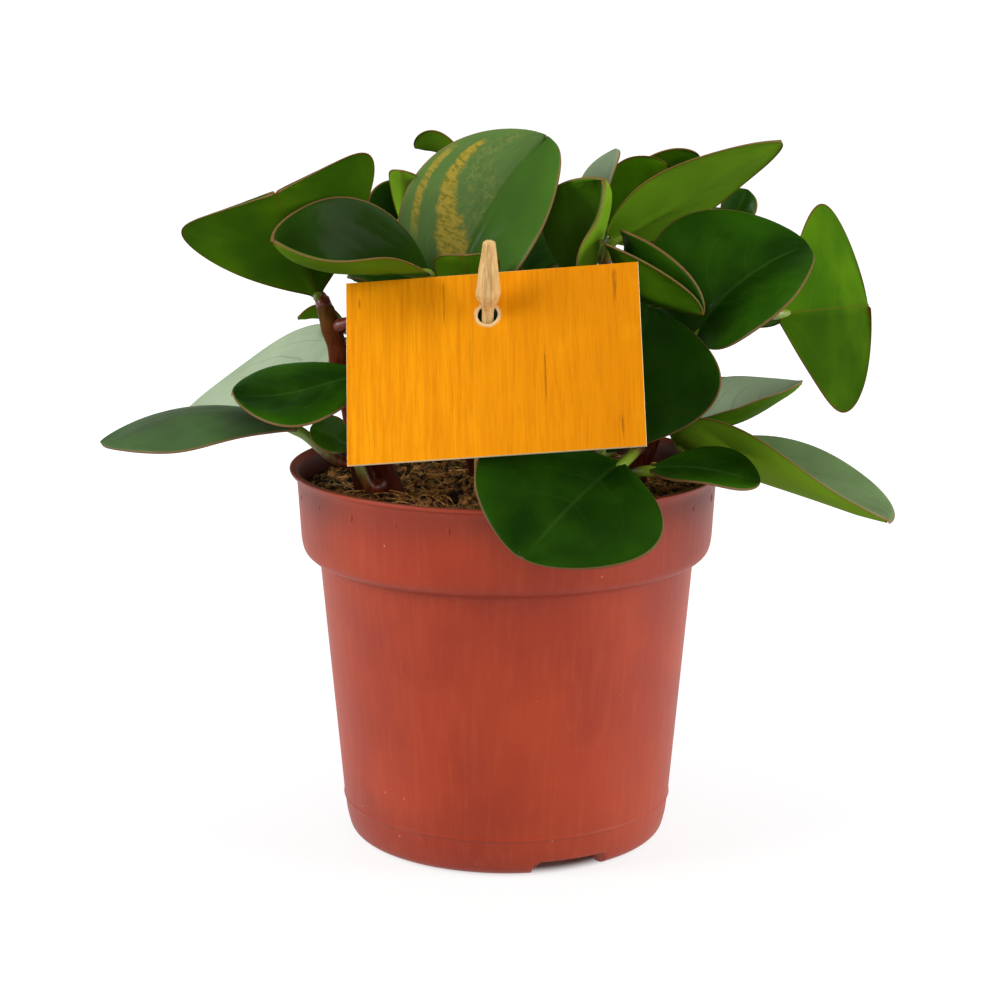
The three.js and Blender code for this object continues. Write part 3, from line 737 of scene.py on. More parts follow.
def stalkMesh(spec):
    # from inside the stem to the underside of the blade, as the start of its midrib
    stem = stems[spec["stem"]]
    centre, tangent, radius = stemAt(stem, spec["at"])
    away = np.array(spec["base"], float) - centre
    away = unit(away - away.dot(tangent) * tangent)
    first = away if spec["at"] < 1 else tangent
    start = centre + (0.3 * radius * first if spec["at"] < 1 else 0 * first)

    def under(t, depth):  # a point this far below the midrib
        spot = (np.array([t]), np.array([0.0]))
        return bladePoints(spec, *spot)[0][0] - depth * bladeNormals(spec, *spot)[0]

    join = under(0.02, 1.0)
    heading = unit(under(0.08, 1.2) - join)
    reach = np.linalg.norm(start - join)
    lead = start + first * (radius + 0.7 if spec["at"] < 1 else 0.8 * radius + 1.1)
    corners = [lead, lead + 0.4 * reach * first, join - 0.25 * reach * heading, join]
    path = bezier(corners, np.linspace(0, 1, 22))
    path = np.vstack([start, path, under(0.06, 1.05), under(0.12, 0.95)])
    share = np.linspace(0, 1, len(path))
    swelling = 0.38 * np.exp(-((share / 0.07) ** 2)) + 0.1 * np.exp(-(((share - 0.9) / 0.1) ** 2))
    radii = spec["stalk"] * (1 - 0.15 * share) * (1 + swelling)
    radii[-2:] *= (0.8, 0.45)
    sides = bladeShape["stalkSides"]
    points, faces = tubeMesh(path, radii, sides)
    return points, faces, np.append(np.repeat(share, sides), (0, 1))


def makeLeaf(number, spec, bladeFinish, stalkSkin):
    points, faces, place, measure = bladeMesh(spec, number)
    stalkPoints, stalkFaces, stalkPlace = stalkMesh(spec)
    shift = len(points)
    allFaces = faces + [[k + shift for k in face] for face in stalkFaces]
    finishOf = [0] * len(faces) + [1] * len(stalkFaces)
    blank = np.zeros((len(stalkPoints), 3))
    # painted shade for the half on each side of the midrib
    paintedShadeHalves = np.interp(place[:, 1], (-0.06, 0.06), spec["shade"])
    values = {
        "leafPlace": np.vstack([place, blank]),
        "leafMeasure": np.vstack([measure, blank]),
        "stalkPlace": np.concatenate([np.zeros(shift), stalkPlace]),
        "leafPaintedSheen": np.full(shift + len(stalkPlace), spec["bloom"]),
        "leafPaintedShade": np.append(paintedShadeHalves, 0 * stalkPlace),
    }
    allPoints = np.vstack([points, stalkPoints])
    finishes = [bladeFinish, stalkSkin]
    piece = makeMesh(f"leaf_{number:02d}_blade", allPoints, allFaces, finishes, finishOf, values)
    slot = "variegated_leaf" if number == bandedNumber else "leaf_green"
    return finished(piece, slot, f"leaf_{number:02d}")


greenLeaf = leafFinish("leafGreen")
bandedLeaf = leafFinish("leafBanded", bands=True)
stalkSkin = stalkFinish()
for number, spec in enumerate(leaves, 1):
    makeLeaf(number, spec, bandedLeaf if number == bandedNumber else greenLeaf, stalkSkin)
print("stage: leaves", len(leaves))


def geometryTree(name, inputs):
    # a tree with a mesh in, a mesh out and these named number inputs
    group = bpy.data.node_groups.new(name, "GeometryNodeTree")
    group.interface.new_socket("Geometry", in_out="INPUT", socket_type="NodeSocketGeometry")
    for label, (kind, value) in inputs.items():
        socket = group.interface.new_socket(label, in_out="INPUT", socket_type=kind)
        socket.default_value = value
    group.interface.new_socket("Geometry", in_out="OUTPUT", socket_type="NodeSocketGeometry")
    tree = Tree(group)
    entry = group.nodes.new("NodeGroupInput")
    given = {socket.name: Value(tree, socket) for socket in entry.outputs if socket.name}
    return group, tree, given


def closeTree(group, tree, geometry, finish):
    # the tree ends in Realize Instances and Set Material
    real = tree.add("GeometryNodeRealizeInstances", None, {0: geometry})
    worn = tree.add("GeometryNodeSetMaterial", None, {0: real, "Material": finish})
    leaving = group.nodes.new("NodeGroupOutput")
    group.links.new(worn.socket, leaving.inputs[0])


def grown(piece, group, sizes):
    # the result of the tree on this piece, as plain mesh
    modifier = piece.modifiers.new("tree", "NODES")
    modifier.node_group = group
    for item in group.interface.items_tree:
        if item.in_out == "INPUT" and item.name in sizes:
            modifier[item.identifier] = sizes[item.name]
    return applied(piece)


def stemTree(finish):
    # a tube round a line of points, as thick as the points say and slightly uneven
    group, tree, given = geometryTree("stemTube", {
        "Sides": ("NodeSocketInt", 24), "Unevenness": ("NodeSocketFloat", 0.0002),
    })
    sockets = {"Resolution": given["Sides"], "Radius": 1.0}
    ring = tree.add("GeometryNodeCurvePrimitiveCircle", None, sockets)
    curve = tree.add("GeometryNodeMeshToCurve", None, {0: given["Geometry"]})
    kind = {"data_type": "FLOAT"}
    radius = tree.add("GeometryNodeInputNamedAttribute", kind, {"Name": "thickness"})
    curve = tree.add("GeometryNodeSetCurveRadius", None, {0: curve, "Radius": radius})
    sockets = {"Curve": curve, "Profile Curve": ring, "Scale": radius, "Fill Caps": True}
    tube = tree.add("GeometryNodeCurveToMesh", None, sockets)
    lumps = tree.add("ShaderNodeTexNoise", None, {"Scale": 220.0, "Detail": 2.0})
    normal = tree.add("GeometryNodeInputNormal")
    shift = (lumps - 0.5) * given["Unevenness"] * 2
    offset = tree.add("ShaderNodeVectorMath", {"operation": "SCALE"}, {0: normal, "Scale": shift})
    moved = tree.add("GeometryNodeSetPosition", None, {0: tube, "Offset": offset})
    smooth = tree.add("GeometryNodeSetShadeSmooth", None, {0: moved, "Shade Smooth": True})
    closeTree(group, tree, smooth, finish)
    return group


def makeStem(number, name, finish, group):
    stem = stems[name]
    shape = stemShape
    t = np.linspace(0, 1, shape["steps"] + 1)
    path = bezier(stem["curve"], t)
    thick, thin = stem["radii"]
    radii = thick + (thin - thick) * t
    run = np.concatenate([[0], np.cumsum(np.linalg.norm(np.diff(path, axis=0), axis=1))])
    for spec in leaves:
        if spec["stem"] == name and spec["at"] < 1:
            away = run - np.interp(spec["at"], t, run)
            radii = radii * (1 + shape["nodeSwell"] * np.exp(-((away / shape["nodeLength"]) ** 2)))
    tangent = unit(path[-1] - path[-2])
    path = np.vstack([path, path[-1] + 0.45 * thin * tangent, path[-1] + 0.8 * thin * tangent])
    radii = np.concatenate([radii, [0.85 * thin, 0.45 * thin]])
    edges = [(k, k + 1) for k in range(len(path) - 1)]
    mesh = bpy.data.meshes.new("stem")
    mesh.from_pydata((path * millimetre).tolist(), edges, [])
    layer = mesh.attributes.new("thickness", "FLOAT", "POINT")
    layer.data.foreach_set("value", radii * millimetre)
    piece = bpy.data.objects.new(f"stem_{number}_skin", mesh)
    scene.collection.objects.link(piece)
    grown(piece, group, {"Sides": shape["sides"], "Unevenness": shape["unevenness"]})
    return finished(piece, "stem_skin", f"stem_{number}")


stemSkin = stemFinish()
stemGroup = stemTree(stemSkin)
for number, name in enumerate(stems, 1):
    makeStem(number, name, stemSkin, stemGroup)
print("stage: stems", len(stems))

pot = {
    "height": 105,
    "rim": 60,
    "wall": 1.2,
    "collarBottom": 80.3,
    "bodyTop": 52,
    "bodyFoot": 45.7,
    "footHeight": 11.1,
    "floor": 3,
    "floorRadius": 38.4,    # of the hollow under the floor
    "segments": 240,
    "drainCount": 6,
    "drainRadius": 3.5,
    "drainRing": 27,
    "notchCount": 3,
    "notchWidth": 20,
    "notchHeight": 3.0,     # and what the notch gains at the outer face
    "notchBevel": 1.3,
    "notchTurn": 23.5,
    "pipCount": 24,
    "pipHeight": 98.6,
    "pipRadius": 57.45,
    "pipSize": 0.75,
    "pipSeed": 3,
}


def rounded(corners, steps=5):
    # a profile whose inner corners, given as (radius, height, rounding), become short arcs
    line = [np.array(corners[0][:2], float)]
    for before, corner, after in zip(corners, corners[1:], corners[2:]):
        here = np.array(corner[:2], float)
        towards = np.array(before[:2], float) - here
        onwards = np.array(after[:2], float) - here
        size = min(corner[2], 0.48 * np.linalg.norm(towards), 0.48 * np.linalg.norm(onwards))
        if size <= 0:
            line.append(here)
            continue
        start = here + size * unit(towards)
        end = here + size * unit(onwards)
        for k in range(steps + 1):
            t = k / steps
            line.append((1 - t) ** 2 * start + 2 * t * (1 - t) * here + t ** 2 * end)
    line.append(np.array(corners[-1][:2], float))
    return np.array(line)


def potProfile():
    # (radius, height, rounding) from under the floor, up the outside and down the inside
    top = pot["height"]
    collar = pot["collarBottom"]
    foot = pot["footHeight"]
    outer = pot["bodyFoot"]
    body = pot["bodyTop"]
    wall = pot["wall"]
    return rounded([
        (0, pot["floor"], 0),
        (pot["floorRadius"] - 0.8, pot["floor"], 0.8),
        (pot["floorRadius"], 0, 0.5),
        (40.5, 0, 0.6),
        (44.0, 1.4, 2.4),
        (45.3, 6.4, 2.0),
        (outer, foot - 0.5, 0.3),
        (outer + 0.45, foot - 0.1, 0.2),
        (outer + 0.25, foot + 0.7, 0.3),
        (body, collar - 0.25, 0.35),
        (body + 2.2, collar, 0.9),
        (56.2, collar + 1.6, 1.8),
        (56.9, collar + 4.4, 2.0),
        (57.9, top - 3.4, 1.0),
        (58.5, top - 1.7, 0.6),
        (59.7, top - 1.2, 0.35),
        (pot["rim"], top - 0.3, 0.35),
        (59.5, top, 0.3),
        (58.4, top - 0.1, 0.4),
        (57.4, top - 1.4, 0.6),
        (56.8, top - 3.4, 1.0),
        (55.7, collar + 5, 2.0),
        (54.6, collar + 2.6, 1.4),
        (53.2, collar + 1.6, 0.8),
        (body - wall, collar + 0.8, 0.8),
        (outer - wall, foot, 1.5),
        (43.6, 6.4, 2.0),
        (41.8, pot["floor"] + wall, 1.2),
        (0, pot["floor"] + wall, 0),
    ])


potLook = {
    "deep": (153, 43, 8),
    "bright": (173, 57, 14),
    # colour of the painted shade towards the foot
    "foot": (104, 26, 6),
    "line": (190, 84, 48),
    "scuff": (206, 122, 88),
    "dust": (224, 180, 150),
    "lip": (112, 64, 46),
    # colour of the painted shade on the inner wall
    "inside": (48, 24, 14),
    "relief": 0.00012,
}


def potFinish():
    # cloudy terracotta plastic with faint upright lines, scuffs and specks of dust, browner on
    # the lip, with painted shade on the inner wall and towards the foot
    finish = Finish("terracottaPlastic")
    place = finish.place()
    x, y, z = finish.parts(place)
    cloud = finish.grain(place, 0.03, 3.0)
    fine = finish.grain(place, 0.0009, 3.0, 0.6)
    scuffs = finish.grain(finish.stretched(place, (1, 1, 0.25)), 0.0022, 4.0, 0.7)
    specks = finish.add("ShaderNodeTexVoronoi", None, {"Vector": place, "Scale": 260.0})
    shade = finish.blend(cloud.step(0.3, 0.75), potLook["deep"], potLook["bright"])
    # painted shade: darker towards the bottom, near the floor
    shade = finish.blend((1 - z.step(0.0, 0.03)) * 0.2, shade, potLook["foot"])
    lines = finish.grain(finish.stretched(place, (1, 1, 0.03)), 0.0016, 3.0, 0.6)
    shade = finish.blend(lines.step(0.45, 0.7) * 0.14, shade, potLook["line"])
    shade = finish.blend(scuffs.step(0.6, 0.85) * 0.16, shade, potLook["scuff"])
    dust = (1 - specks.step(0.02, 0.09)) * finish.grain(place, 0.008, 1.0).step(0.55, 0.7)
    shade = finish.blend(dust * 0.55, shade, potLook["dust"])
    shade = finish.blend(z.step(0.1045, 0.1049) * 0.7, shade, potLook["lip"])
    # painted shade on the inner wall above the soil
    leaned = (x * x + y * y) ** 0.5 - 0.0025 * z.step(0.08, 0.105)
    inside = (1 - leaned.step(0.0545, 0.0562)) * z.step(0.085, 0.09)
    shade = finish.blend(inside * 0.85, shade, potLook["inside"])
    finish.bump(fine * 0.5 + scuffs * 0.5, potLook["relief"], 0.5)
    rough = 0.38 + 0.10 * cloud + 0.1 * scuffs
    return finish.wear(Base_Color=shade, Roughness=rough, IOR=1.42)


def makePot(finish):
    # the turned shell, with its foot ring cut by the notches and its floor by the drains
    profile = potProfile()
    segments = pot["segments"]
    turns = np.linspace(0, 2 * np.pi, segments, endpoint=False)
    inner = profile[1:-1]
    radius = inner[:, 0][:, None]
    height = np.broadcast_to(inner[:, 1][:, None], (len(inner), segments)).copy()
    points = np.stack([radius * np.cos(turns), radius * np.sin(turns), height], -1)
    for i in range(pot["notchCount"]):
        middle = math.radians(pot["notchTurn"] - 90 + 360 * i / pot["notchCount"])
        across = np.abs(points @ (-math.sin(middle), math.cos(middle), 0))
        facing = points @ (math.cos(middle), math.sin(middle), 0) > 0
        roof = pot["notchHeight"] + pot["notchBevel"] * smoothstep(40, 43.5, radius)
        ring = (radius > pot["floorRadius"] - 1.4) & (height < roof)
        cut = facing & (across < pot["notchWidth"] / 2) & ring
        points[..., 2] = np.where(cut, roof, points[..., 2])
    points = np.vstack([points.reshape(-1, 3), (0, 0, profile[0][1]), (0, 0, profile[-1][1])])
    faces = turnedOut(points, loftFaces(len(inner), segments))
    piece = makeMesh("potShell", points, faces, [finish])
    drains = []
    for i in range(pot["drainCount"]):
        turn = 2 * math.pi * (i + 0.5) / pot["drainCount"]
        drains.append((pot["drainRing"] * math.cos(turn), pot["drainRing"] * math.sin(turn)))
    low = pot["floor"] - 3
    cutter = cylinders("drains", drains, pot["drainRadius"], low, low + 8, finish)
    modifier = piece.modifiers.new("drains", "BOOLEAN")
    modifier.object = cutter
    modifier.operation = "DIFFERENCE"
    modifier.solver = "EXACT"
    applied(piece)
    bpy.data.objects.remove(cutter)
    return finished(piece, "pot_plastic", "pot")


def cylinders(name, places, radius, low, high, finish):
    points, faces = [], []
    for x, y in places:
        path = np.array([(x, y, low), (x, y, high)], float)
        some, these = tubeMesh(path, [radius, radius], 40)
        faces += [[k + len(points) for k in face] for face in these]
        points += some.tolist()
    return makeMesh(name, points, faces, [finish])


def pipTree(finish):
    # small moulded nubs in a ring round the collar
    floats = "NodeSocketFloat"
    group, tree, given = geometryTree("potPips", {
        "Count": ("NodeSocketInt", 24), "Radius": (floats, 0.057), "Height": (floats, 0.0986),
        "Size": (floats, 0.0007), "Seed": ("NodeSocketInt", 1),
    })
    sockets = {"Resolution": given["Count"], "Radius": given["Radius"]}
    ring = tree.add("GeometryNodeCurvePrimitiveCircle", None, sockets)
    nub = tree.add("GeometryNodeMeshIcoSphere", None, {"Radius": given["Size"], "Subdivisions": 3})
    long = tree.add("GeometryNodeTransform", None, {0: nub, "Scale": (0.7, 1.0, 1.9)})
    spots = tree.add("GeometryNodeCurveToPoints", {"mode": "EVALUATED"}, {0: ring})
    sockets = {2: 0.6, 3: 1.0, "Seed": given["Seed"]}
    size = tree.add("FunctionNodeRandomValue", {"data_type": "FLOAT"}, sockets, 1)
    sockets = {"Points": spots, "Instance": long, "Scale": size}
    nubs = tree.add("GeometryNodeInstanceOnPoints", None, sockets)
    up = tree.add("ShaderNodeCombineXYZ", None, {2: given["Height"]})
    lifted = tree.add("GeometryNodeTransform", None, {0: nubs, "Translation": up})
    smooth = tree.add("GeometryNodeSetShadeSmooth", None, {0: lifted, "Shade Smooth": True})
    closeTree(group, tree, smooth, finish)
    return group


def makePips(finish):
    start = makeMesh("potPips", [(0, 0, pot["pipHeight"])], [], [finish])
    sizes = {
        "Count": pot["pipCount"], "Radius": pot["pipRadius"] * millimetre,
        "Height": pot["pipHeight"] * millimetre, "Size": pot["pipSize"] * millimetre,
        "Seed": pot["pipSeed"],
    }
    return finished(grown(start, pipTree(finish), sizes), "pot_plastic")


potPlastic = potFinish()
makePot(potPlastic)
makePips(potPlastic)
print("stage: pot")

soil = {
    "edge": 98,
    "middle": 100.5,
    "rings": 90,
    "around": 200,
    "lumps": 1.7,
    "radius": 55.9,
    # radius and height down the pot's inside
    "wall": [(55.7, 96.4), (54.3, 85.3), (53.0, 83.2), (50.3, 80.5), (44.0, 11.1), (41.2, 4.7)],
    "patchRings": 40,       # of the sheet on which the loose bits are scattered
    "patchAround": 90,
    "patchRadius": 55.4,
    "dark": (12, 8, 5),
    "light": (88, 64, 34),
    "speck": (116, 80, 46),
    "green": (58, 64, 20),
}


def soilFinish():
    finish = Finish("peat")
    place = finish.place()
    lump = finish.grain(place, 0.004, 6.0, 0.7)
    fine = finish.grain(place, 0.0009, 4.0, 0.7)
    shade = finish.blend(lump.step(0.4, 0.62), soil["dark"], soil["light"])
    shade = finish.blend(fine.step(0.5, 0.75) * 0.5, shade, soil["speck"])
    green = finish.grain(place, 0.014, 2.0).step(0.52, 0.68) * fine.step(0.4, 0.6)
    shade = finish.blend(green * 0.5, shade, soil["green"])
    finish.bump(fine, 0.0008, 1.0)
    return finish.wear(Base_Color=shade, Roughness=0.92, IOR=1.3)


def soilTop(x, y):
    # height of the soil, with lumps that fade at the wall
    radius = math.hypot(x, y)
    base = soil["middle"] - (soil["middle"] - soil["edge"]) * (radius / 56) ** 2.4
    lump = noise.fractal(Vector((x * 0.11, y * 0.11, 3.7)), 1.0, 2.1, 5)
    small = noise.noise(Vector((x * 0.6, y * 0.6, 9.1)))
    return base + soil["lumps"] * (lump + 0.45 * small)


def soilRing(radius, around, lift=0.0, height=None):
    # a ring of points on the soil's top, or at a fixed height
    turns = np.linspace(0, 2 * np.pi, around, endpoint=False)
    x, y = radius * np.cos(turns), radius * np.sin(turns)
    if height is not None:
        return np.stack([x, y, np.full(around, height)], -1)
    return np.stack([x, y, [soilTop(a, b) + lift for a, b in zip(x, y)]], -1)


def makeSoil(finish):
    around = soil["around"]
    wall = soil["wall"]
    radii = soil["radius"] * np.linspace(1 / soil["rings"], 1, soil["rings"]) ** 0.8
    rows = [soilRing(radius, around) for radius in radii]
    rows += [soilRing(radius, around, height=height) for radius, height in wall]
    grid = np.array(rows)
    points = np.vstack([grid.reshape(-1, 3), (0, 0, soilTop(0, 0)), (0, 0, wall[-1][1])])
    faces = turnedOut(points, loftFaces(len(grid), around))
    piece = makeMesh("soilBody", points, faces, [finish])
    return finished(piece, "potting_soil", "soil")


def soilPatch():
    # an open sheet over the soil, on which the loose bits are scattered
    rings, around = soil["patchRings"], soil["patchAround"]
    radii = np.linspace(0.5, soil["patchRadius"], rings)
    grid = np.array([soilRing(radius, around, 0.1) for radius in radii])
    faces = [face[::-1] for face in loftFaces(rings, around, closed=False)]
    return grid.reshape(-1, 3), faces


def scatterTree(name, finish, shapeOf, flat):
    # bits of one kind on the soil: many, at random places, sizes and turns
    floats = "NodeSocketFloat"
    group, tree, given = geometryTree(name, {
        "Count": ("NodeSocketInt", 1000), "Smallest": (floats, 0.5), "Largest": (floats, 1.0),
        "Sink": (floats, 0.0), "Reach": (floats, 0.05), "Clumped": (floats, 0.0),
        "Seed": ("NodeSocketInt", 1),
    })
    place = tree.add("GeometryNodeInputPosition")
    sockets = {0: place, 1: (1, 1, 0)}
    level = tree.add("ShaderNodeVectorMath", {"operation": "MULTIPLY"}, sockets)
    radius = tree.add("ShaderNodeVectorMath", {"operation": "LENGTH"}, {0: level}, 1)
    near = radius.sum("LESS_THAN", radius, given["Reach"])
    clumps = tree.add("ShaderNodeTexNoise", None, {"Scale": 130.0, "Detail": 1.0})
    near = near * (1 - given["Clumped"] + given["Clumped"] * 2.6 * clumps.step(0.46, 0.62))
    density = near * given["Count"] / (given["Reach"] * given["Reach"] * math.pi)
    spots = tree.add("GeometryNodeDistributePointsOnFaces", {"distribute_method": "RANDOM"},
                     {0: given["Geometry"], "Density": density, "Seed": given["Seed"]})
    lean = math.pi if not flat else 0.45
    turn = tree.add("FunctionNodeRandomValue", {"data_type": "FLOAT_VECTOR"},
                    {0: (-lean, -lean, 0), 1: (lean, lean, 2 * math.pi), "Seed": given["Seed"]}, 0)
    size = tree.add("FunctionNodeRandomValue", {"data_type": "FLOAT"},
                    {2: given["Smallest"], 3: given["Largest"], "Seed": given["Seed"]}, 1)
    bits = tree.add("GeometryNodeInstanceOnPoints", None, {
        "Points": spots, "Instance": shapeOf(tree), "Rotation": turn, "Scale": size,
    })
    down = tree.add("ShaderNodeCombineXYZ", None, {2: 0 - given["Sink"]})
    sunk = tree.add("GeometryNodeTransform", None, {0: bits, "Translation": down})
    smooth = tree.add("GeometryNodeSetShadeSmooth", None, {0: sunk, "Shade Smooth": True})
    closeTree(group, tree, smooth, finish)
    return group


def crumbShape(tree):
    ball = tree.add("GeometryNodeMeshIcoSphere", None, {"Radius": 0.001, "Subdivisions": 2})
    lumps = tree.add("ShaderNodeTexNoise", None, {"Scale": 900.0, "Detail": 1.0})
    normal = tree.add("GeometryNodeInputNormal")
    shift = (lumps - 0.5) * 0.0016
    offset = tree.add("ShaderNodeVectorMath", {"operation": "SCALE"}, {0: normal, "Scale": shift})
    rough = tree.add("GeometryNodeSetPosition", None, {0: ball, "Offset": offset})
    return tree.add("GeometryNodeTransform", None, {0: rough, "Scale": (1.0, 0.8, 0.6)})


def strandShape(length, lift, thick, sides):
    # one bent strand lying along X, with its length, lift and radius in metres
    def shape(tree):
        line = tree.add("GeometryNodeCurvePrimitiveBezierSegment", None, {
            "Resolution": 9,
            "Start": (-length / 2, 0, 0),
            "Start Handle": (-length / 5, length / 4, lift),
            "End Handle": (length / 5, -length / 3, lift * 1.2),
            "End": (length / 2, length / 8, 0),
        })
        sockets = {"Resolution": sides, "Radius": thick}
        ring = tree.add("GeometryNodeCurvePrimitiveCircle", None, sockets)
        sockets = {"Curve": line, "Profile Curve": ring, "Fill Caps": True}
        return tree.add("GeometryNodeCurveToMesh", None, sockets)
    return shape


def bitsFinish(name):
    dark, light, rough = bitLooks[name]
    finish = Finish(name)
    place = finish.place()
    tone = finish.grain(place, 0.003, 3.0, 0.7)
    fine = finish.grain(place, 0.0006, 2.0)
    shade = finish.blend(tone.step(0.4, 0.62), dark, light)
    shade = finish.blend(fine.step(0.3, 0.8) * 0.35, shade, dark)
    finish.bump(fine, 0.0003, 0.7)
    return finish.wear(Base_Color=shade, Roughness=rough, IOR=1.35)


def makeBits(name, bit):
    points, faces = soilPatch()
    piece = makeMesh(name, points, faces, [bit["finish"]])
    group = scatterTree(name, bit["finish"], bit["shape"], bit["flat"])
    grown(piece, group, {
        "Count": bit["count"], "Smallest": bit["sizes"][0], "Largest": bit["sizes"][1],
        "Sink": bit["sink"] * millimetre, "Reach": bit["reach"] * millimetre,
        "Clumped": bit["clumped"], "Seed": bit["seed"],
    })
    return finished(piece, "potting_soil")


bitLooks = {  # a dark and a light colour, and the roughness
    "peatCrumb": ((20, 13, 8), (168, 118, 60), 0.85),
    "coirFibre": ((150, 92, 38), (240, 186, 108), 0.7),
    "mossLeaf": ((58, 66, 16), (128, 130, 52), 0.8),
    "paleRoot": ((150, 124, 88), (206, 184, 146), 0.6),
}

peat = soilFinish()
makeSoil(peat)
crumb, coir, mossy, rootlet = (bitsFinish(name) for name in bitLooks)

# sizes multiply the shape's own size; flat bits lie down; reach is how far from the pot's axis
# they get, and clumped is how much they gather in patches
soilBits = {
    "soilCrumbs": {
        "finish": crumb, "shape": crumbShape, "flat": False, "count": 3800,
        "sizes": (0.4, 2.3), "sink": 0.1, "reach": 53, "clumped": 0.2, "seed": 11,
    },
    "soilFibres": {
        "finish": coir, "shape": strandShape(0.011, 0.0022, 0.00012, 4), "flat": True,
        "count": 420, "sizes": (0.4, 1.4), "sink": 0.3, "reach": 46, "clumped": 0.7, "seed": 12,
    },
    "soilFluff": {
        "finish": coir, "shape": strandShape(0.005, 0.0012, 0.00011, 3), "flat": False,
        "count": 800, "sizes": (0.4, 1.2), "sink": 0.1, "reach": 53, "clumped": 0.9, "seed": 15,
    },
    "soilMoss": {
        "finish": mossy, "shape": strandShape(0.0035, 0.0012, 0.0002, 3), "flat": True,
        "count": 900, "sizes": (0.5, 1.3), "sink": 0.1, "reach": 53.5, "clumped": 0.8, "seed": 13,
    },
    "soilRoots": {
        "finish": rootlet, "shape": strandShape(0.014, 0.002, 0.00014, 4), "flat": True,
        "count": 36, "sizes": (0.5, 1.2), "sink": 0.2, "reach": 45, "clumped": 0.0, "seed": 14,
    },
}
for name, bit in soilBits.items():
    makeBits(name, bit)
print("stage: soil")

card = {
    "width": 76,
    "height": 50.7,
    "thick": 0.8,
    "bevel": 0.12,
    "hole": (-1.2, 13.6),
    "holeRadius": 2.6,
    "holeCollar": 1.4,      # width of the ring of faces round the hole
    "rays": 96,
    "place": (-3.3, -50, 141.1),
    "turns": (-32, -5.8, -8),   # tilt about X, roll about Y, turn about Z
    "cracks": [                 # middle and half width across, lower and upper end
        (31.8, 0.9, 14, 23), (32.0, 0.9, -25, -16), (13.2, 0.3, -12, 4), (-34.5, 0.5, 8, 20),
        (-35.2, 0.4, -20, -12), (-12.5, 0.3, 12, 23),
    ],
    "deep": (227, 137, 3),
    "bright": (245, 157, 7),
    # painted light and shade: darker colour towards the right, the left staying lighter under the
    # leaves' shadow
    "paintedShadeRight": (208, 124, 2),
    "broad": (206, 116, 0),
    "blotch": (236, 154, 6),
    "line": (176, 96, 4),
    "crack": (104, 56, 8),
    "torn": (222, 190, 140),
    "side": (228, 206, 158),
}


def cardMatrix():
    tilt, roll, turn = (math.radians(angle) for angle in card["turns"])
    lean = Matrix.Rotation(tilt, 4, "X") @ Matrix.Rotation(roll, 4, "Y")
    return Matrix.Translation(card["place"]) @ Matrix.Rotation(turn, 4, "Z") @ lean


def cardFinish():
    # cardPlace is (x, depth, z) on the card in metres
    finish = Finish("woodPrint")
    place = finish.attribute("cardPlace", 1)
    x, depth, z = finish.parts(place)
    plank = finish.grain(finish.stretched(place, (1, 1, 0.04)), 0.0011, 5.0, 0.6)
    broad = finish.grain(finish.stretched(place, (1, 1, 0.10)), 0.006, 3.0)
    waves = finish.grain(finish.stretched(place, (1, 1, 0.05)), 0.0005, 3.0, 0.6)
    blotch = finish.grain(place, 0.011, 3.0)
    shade = finish.blend(plank.step(0.3, 0.7), card["deep"], card["bright"])
    # painted light and shade: the card is painted darker to the right and lighter on the left,
    # where the leaves shade it
    shade = finish.blend(x.step(-0.035, 0.035) * 0.75, shade, card["paintedShadeRight"])
    shade = finish.blend(broad.step(0.5, 0.72) * 0.22, shade, card["broad"])
    shade = finish.blend(blotch.step(0.5, 0.8) * 0.3, shade, card["blotch"])
    shade = finish.blend(waves.step(0.48, 0.66) * 0.25, shade, card["line"])
    cracks = finish.grain(finish.stretched(place, (1, 1, 0.12)), 0.0012, 4.0, 0.7)
    crack = 0
    for middle, half, low, high in card["cracks"]:
        beside = 1 - abs(x - middle * millimetre).step(0.2 * half * millimetre, half * millimetre)
        within = z.step((low - 1.5) * millimetre, (low + 1) * millimetre)
        within = within * (1 - z.step((high - 1) * millimetre, (high + 1.5) * millimetre))
        crack = crack + beside * within
    crack = crack * cracks.step(0.42, 0.6)
    shade = finish.blend(crack.smallest(1) * 0.6, shade, card["crack"])
    middleX, middleZ = (value * millimetre for value in card["hole"])
    hole = ((x - middleX) ** 2 + (z - middleZ) ** 2) ** 0.5
    torn = hole + (finish.grain(place, 0.0009, 3.0) - 0.5) * 0.0012
    shade = finish.blend(1 - torn.step(0.0031, 0.0038), shade, card["torn"])
    side = 1 - abs(depth).step(0.00034, 0.00039)
    shade = finish.blend(side, shade, card["side"])
    finish.bump(plank * 0.5 + waves * 0.3 - crack * 0.6, 0.00012, 0.6)
    return finish.wear(Base_Color=shade, Roughness=0.55 + 0.15 * plank, IOR=1.15)


